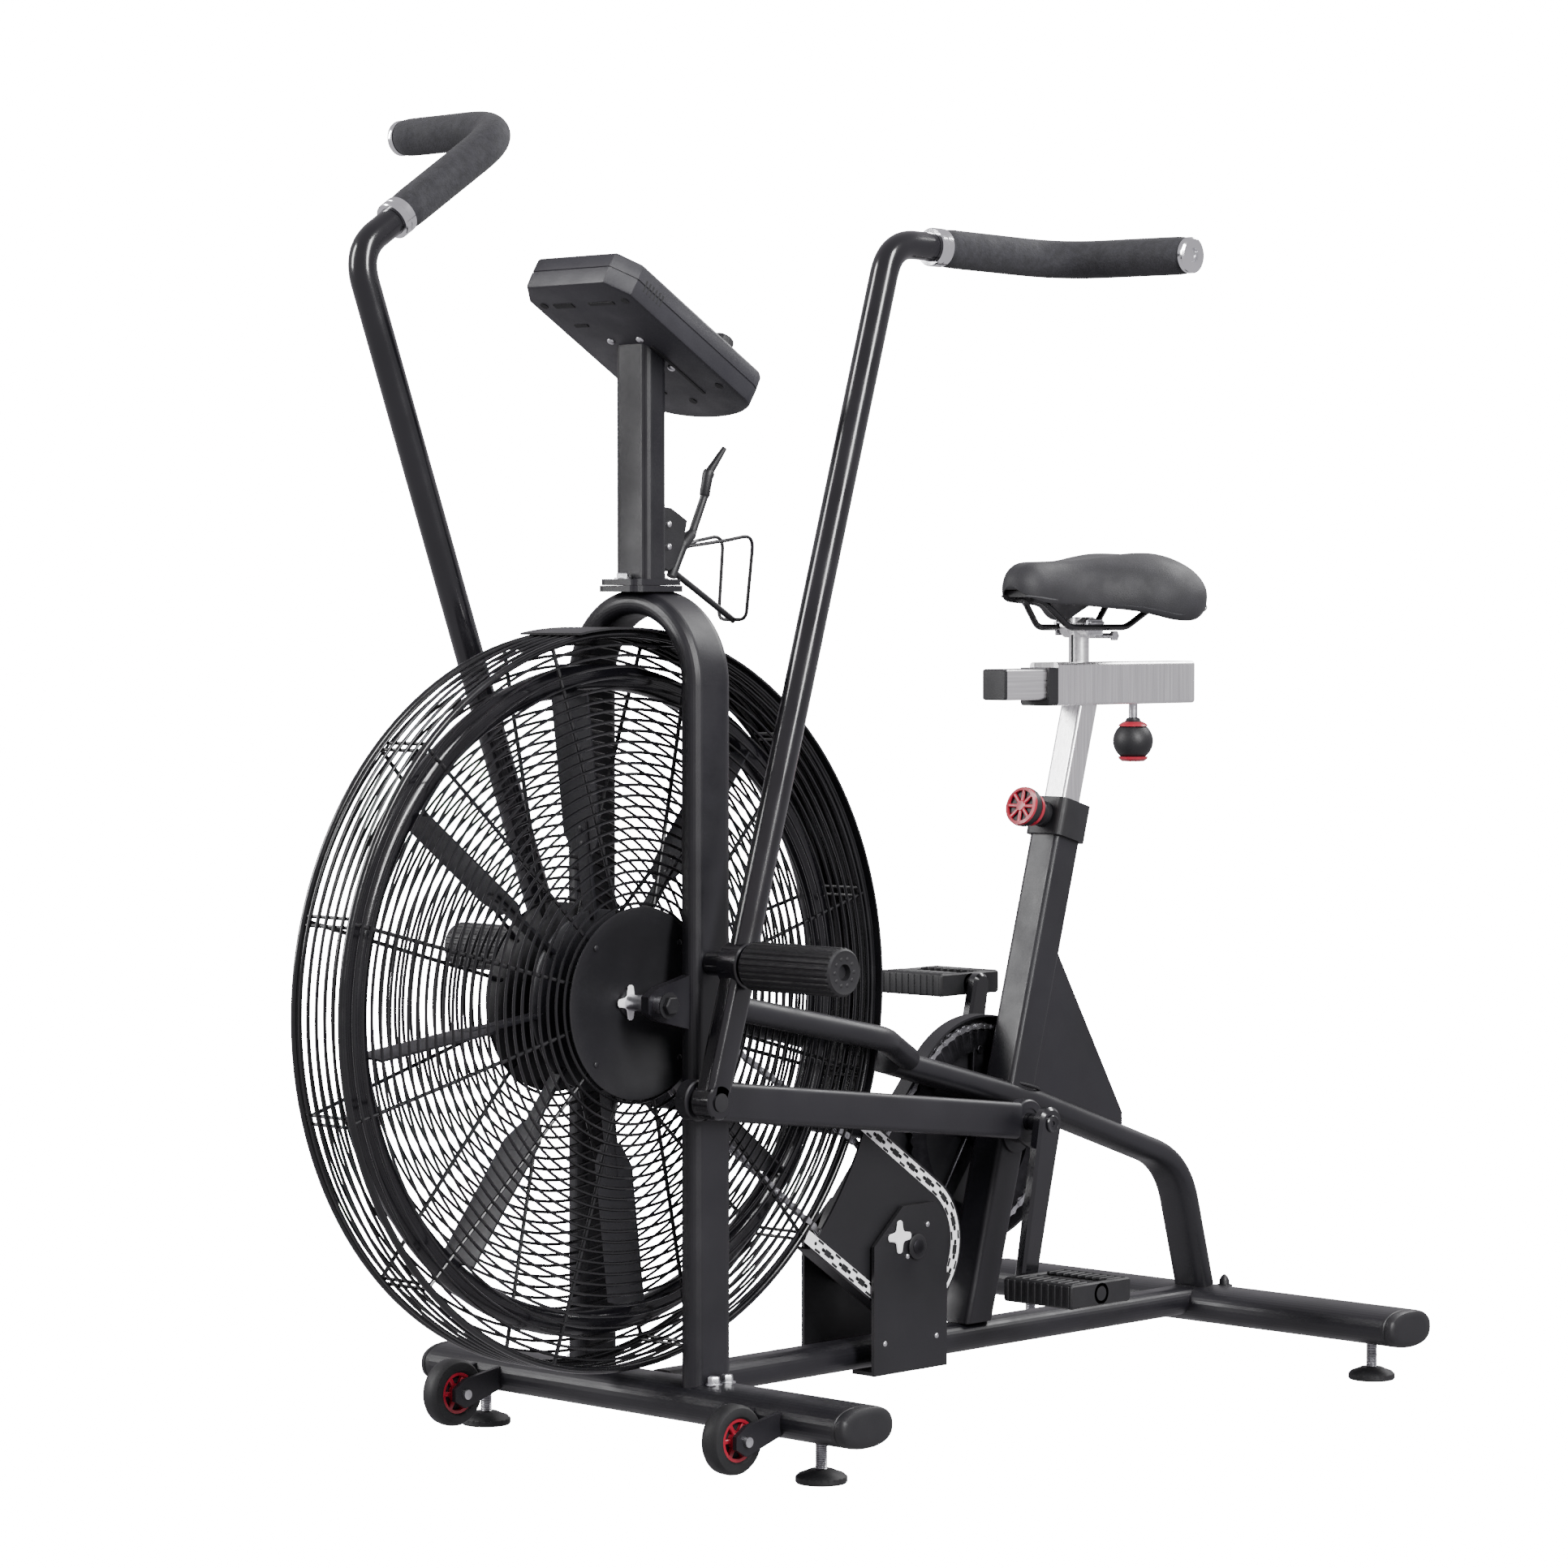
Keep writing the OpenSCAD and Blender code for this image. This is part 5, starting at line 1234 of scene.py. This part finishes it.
def saddle_width(t):
    """Half width of the saddle at t from 0 (nose) to 1 (rear)."""
    nose = 27 * MM * math.sqrt(max(0.0, 1 - (1 - min(t, 0.12) / 0.12) ** 2))
    flare = 71 * MM * math.sin(math.pi / 2 * min(1, max(0, (t - 0.2) / 0.58))) ** 2
    tail = math.sqrt(max(0.0, 1 - (max(0, t - 0.86) / 0.14) ** 2.2)) if t > 0.86 else 1
    return (nose + flare) * tail


def saddle():
    """Saddle cover and its base."""
    lo, hi = low("saddle_pad"), high("saddle_pad")
    length = hi[1] - lo[1]
    shape = Shape()
    rows = []
    stations = [0.004, 0.02, 0.05, 0.09, 0.14, 0.2, 0.27, 0.34, 0.41, 0.48, 0.55, 0.62, 0.69, 0.76, 0.83,
                0.89, 0.94, 0.975, 0.996]
    for t in stations:
        y = lo[1] + t * length
        w = max(saddle_width(t), 5 * MM)
        ends = math.sqrt(max(0.0, 1 - (1 - min(t, 0.11) / 0.11) ** 2)) * math.sqrt(max(0.0,
                1 - (max(0, t - 0.8) / 0.2) ** 2.4))
        top = np.interp(t, [0, 0.1, 0.22, 0.35, 0.5, 0.7, 0.85, 1],
                        [872, 875.5, 876, 877, 881.5, 887, 886.5, 876]) * MM
        rim = np.interp(t, [0, 0.15, 0.35, 0.55, 0.7, 0.82, 0.92, 1],
                        [834, 831, 828, 822, 812, 811, 822, 838]) * MM
        middle = np.interp(t, [0, 0.8, 1], [852, 850, 852]) * MM
        top = middle + (top - middle) * max(ends, 0.12)
        rim = middle + (rim - middle) * max(ends, 0.12)
        belly = max(rim, 846 * MM) if t < 0.93 else rim + 4 * MM
        groove = 3.2 * MM * math.exp(-((t - 0.62) / 0.2) ** 2)
        half = [(0.0, top - groove), (0.16, top - groove * 0.55), (0.34, top + 0.2 * MM),
                (0.56, top - (top - rim) * 0.06), (0.78, top - (top - rim) * 0.2),
                (0.93, top - (top - rim) * 0.42), (1.0, top - (top - rim) * 0.64),
                (0.985, rim + (top - rim) * 0.12), (0.94, rim), (0.87, rim + 1.5 * MM),
                (0.82, min(belly, rim + 14 * MM)), (0.6, belly), (0.3, belly)]
        right = [vec(-w * k, y, z) for k, z in half[1:]]
        left = [vec(w * k, y, z) for k, z in half]
        rows.append(left + [vec(0, y, belly)] + right[::-1])
    shape.loft(rows)
    pad = piece("saddle_cushion", shape, M["saddle"], "saddle", ["saddle_pad"], seams=False,
                subdivide=2)
    seam = Shape()
    for s in (1, -1):
        line = []
        for t in np.linspace(0.03, 0.97, 60):
            y = lo[1] + t * length
            rim = np.interp(t, [0, 0.15, 0.35, 0.55, 0.7, 0.82, 0.92, 1],
                            [840, 836, 833, 828, 820, 819, 829, 846]) * MM
            line.append(vec(s * max(0.004, saddle_width(t) * 0.955), y, rim))
        seam.tube(line, 0.9 * MM, 8)
    piece("saddle_seam", seam, M["thread"], "saddle")
    shell = Shape()
    rows = []
    for t in np.linspace(0.05, 0.95, 16):
        w = saddle_width(t) * 0.84
        y = lo[1] + t * length
        rows.append([vec(w * k, y, z * MM) for k, z in ((-1, 841), (-0.6, 838.6), (0, 838), (0.6, 838.6),
                                                        (1, 841), (0.9, 845), (0, 845), (-0.9, 845))])
    shell.loft(rows)
    piece("saddle_base", shell, M["plastic"], "saddle", ["saddle_shell"])


# ---------------------------------------------------------------- stage

def glowing(name, color, strength):
    """A plain backdrop surface that looks white and casts nothing on the object."""
    m = Finish(name, color, 0.9)
    m.tint(m.noise(0.8, 2), 0.995, 1.0)
    m.shader.inputs["Emission Color"].default_value = (1, 1, 1, 1)
    m.shader.inputs["Emission Strength"].default_value = strength
    return m.mat


def stage():
    """White floor and backdrop that only the camera sees, and soft lights."""
    bpy.ops.mesh.primitive_plane_add(size=60)
    floor = bpy.context.object
    floor.name = "floor"
    floor.data.materials.append(glowing("floor_pale", (0.9, 0.9, 0.9), 16))
    bpy.ops.mesh.primitive_uv_sphere_add(segments=48, ring_count=24, radius=40)
    room = bpy.context.object
    room.name = "room"
    room.data.materials.append(glowing("room_pale", (0.9, 0.9, 0.9), 16))
    for obj in (floor, room):
        obj.visible_diffuse = obj.visible_glossy = obj.visible_shadow = obj.visible_transmission = False
    world = bpy.data.worlds.new("studio")
    bpy.context.scene.world = world
    world.use_nodes = True
    world.node_tree.nodes["Background"].inputs["Color"].default_value = (0.97, 0.94, 1, 1)
    world.node_tree.nodes["Background"].inputs["Strength"].default_value = 0.6
    lights = (((3.4, -0.6, 2.6), 260, (0.8, 2.8)), ((-2.4, -3.2, 2.4), 200, (0.9, 2.6)),
              ((0.5, 3.2, 3.0), 130, (2.6, 0.9)))
    target = vec(0, 0, 0.65)
    for i, (at, power, size) in enumerate(lights):
        lamp = bpy.data.lights.new(f"soft_light_{i}", "AREA")
        lamp.shape, lamp.energy = "RECTANGLE", power
        lamp.size, lamp.size_y = size
        obj = bpy.data.objects.new(lamp.name, lamp)
        bpy.context.scene.collection.objects.link(obj)
        obj.location = at
        obj.rotation_mode = "QUATERNION"
        obj.rotation_quaternion = Vector(target - vec(*at)).to_track_quat("-Z", "Y")


def camera():
    """The photograph's viewing angle."""
    cam = bpy.data.cameras.new("camera")
    cam.lens, cam.sensor_width = 108.7, 36
    cam.clip_start, cam.clip_end = 0.05, 200
    obj = bpy.data.objects.new("camera", cam)
    bpy.context.scene.collection.objects.link(obj)
    azimuth, pitch = math.radians(43.91), math.radians(2.08)
    obj.location = (3.2936, -3.4592, 0.8224)
    look = Vector((-math.sin(azimuth) * math.cos(pitch), math.cos(azimuth) * math.cos(pitch),
                   -math.sin(pitch)))
    obj.rotation_mode = "QUATERNION"
    obj.rotation_quaternion = look.to_track_quat("-Z", "Y")
    bpy.context.scene.camera = obj


camera()
stabiliser_caps()
top_tube()
stays()
bolts()
feet()
transport_wheels()
fan_cage()
fan()
drive()
chain_band()
guard_details()
cranks()
pedals()
push_rods()
levers()
foot_pegs()
console()
bottle_cage()
knob_details()
slider()
rails()
saddle()
stage()
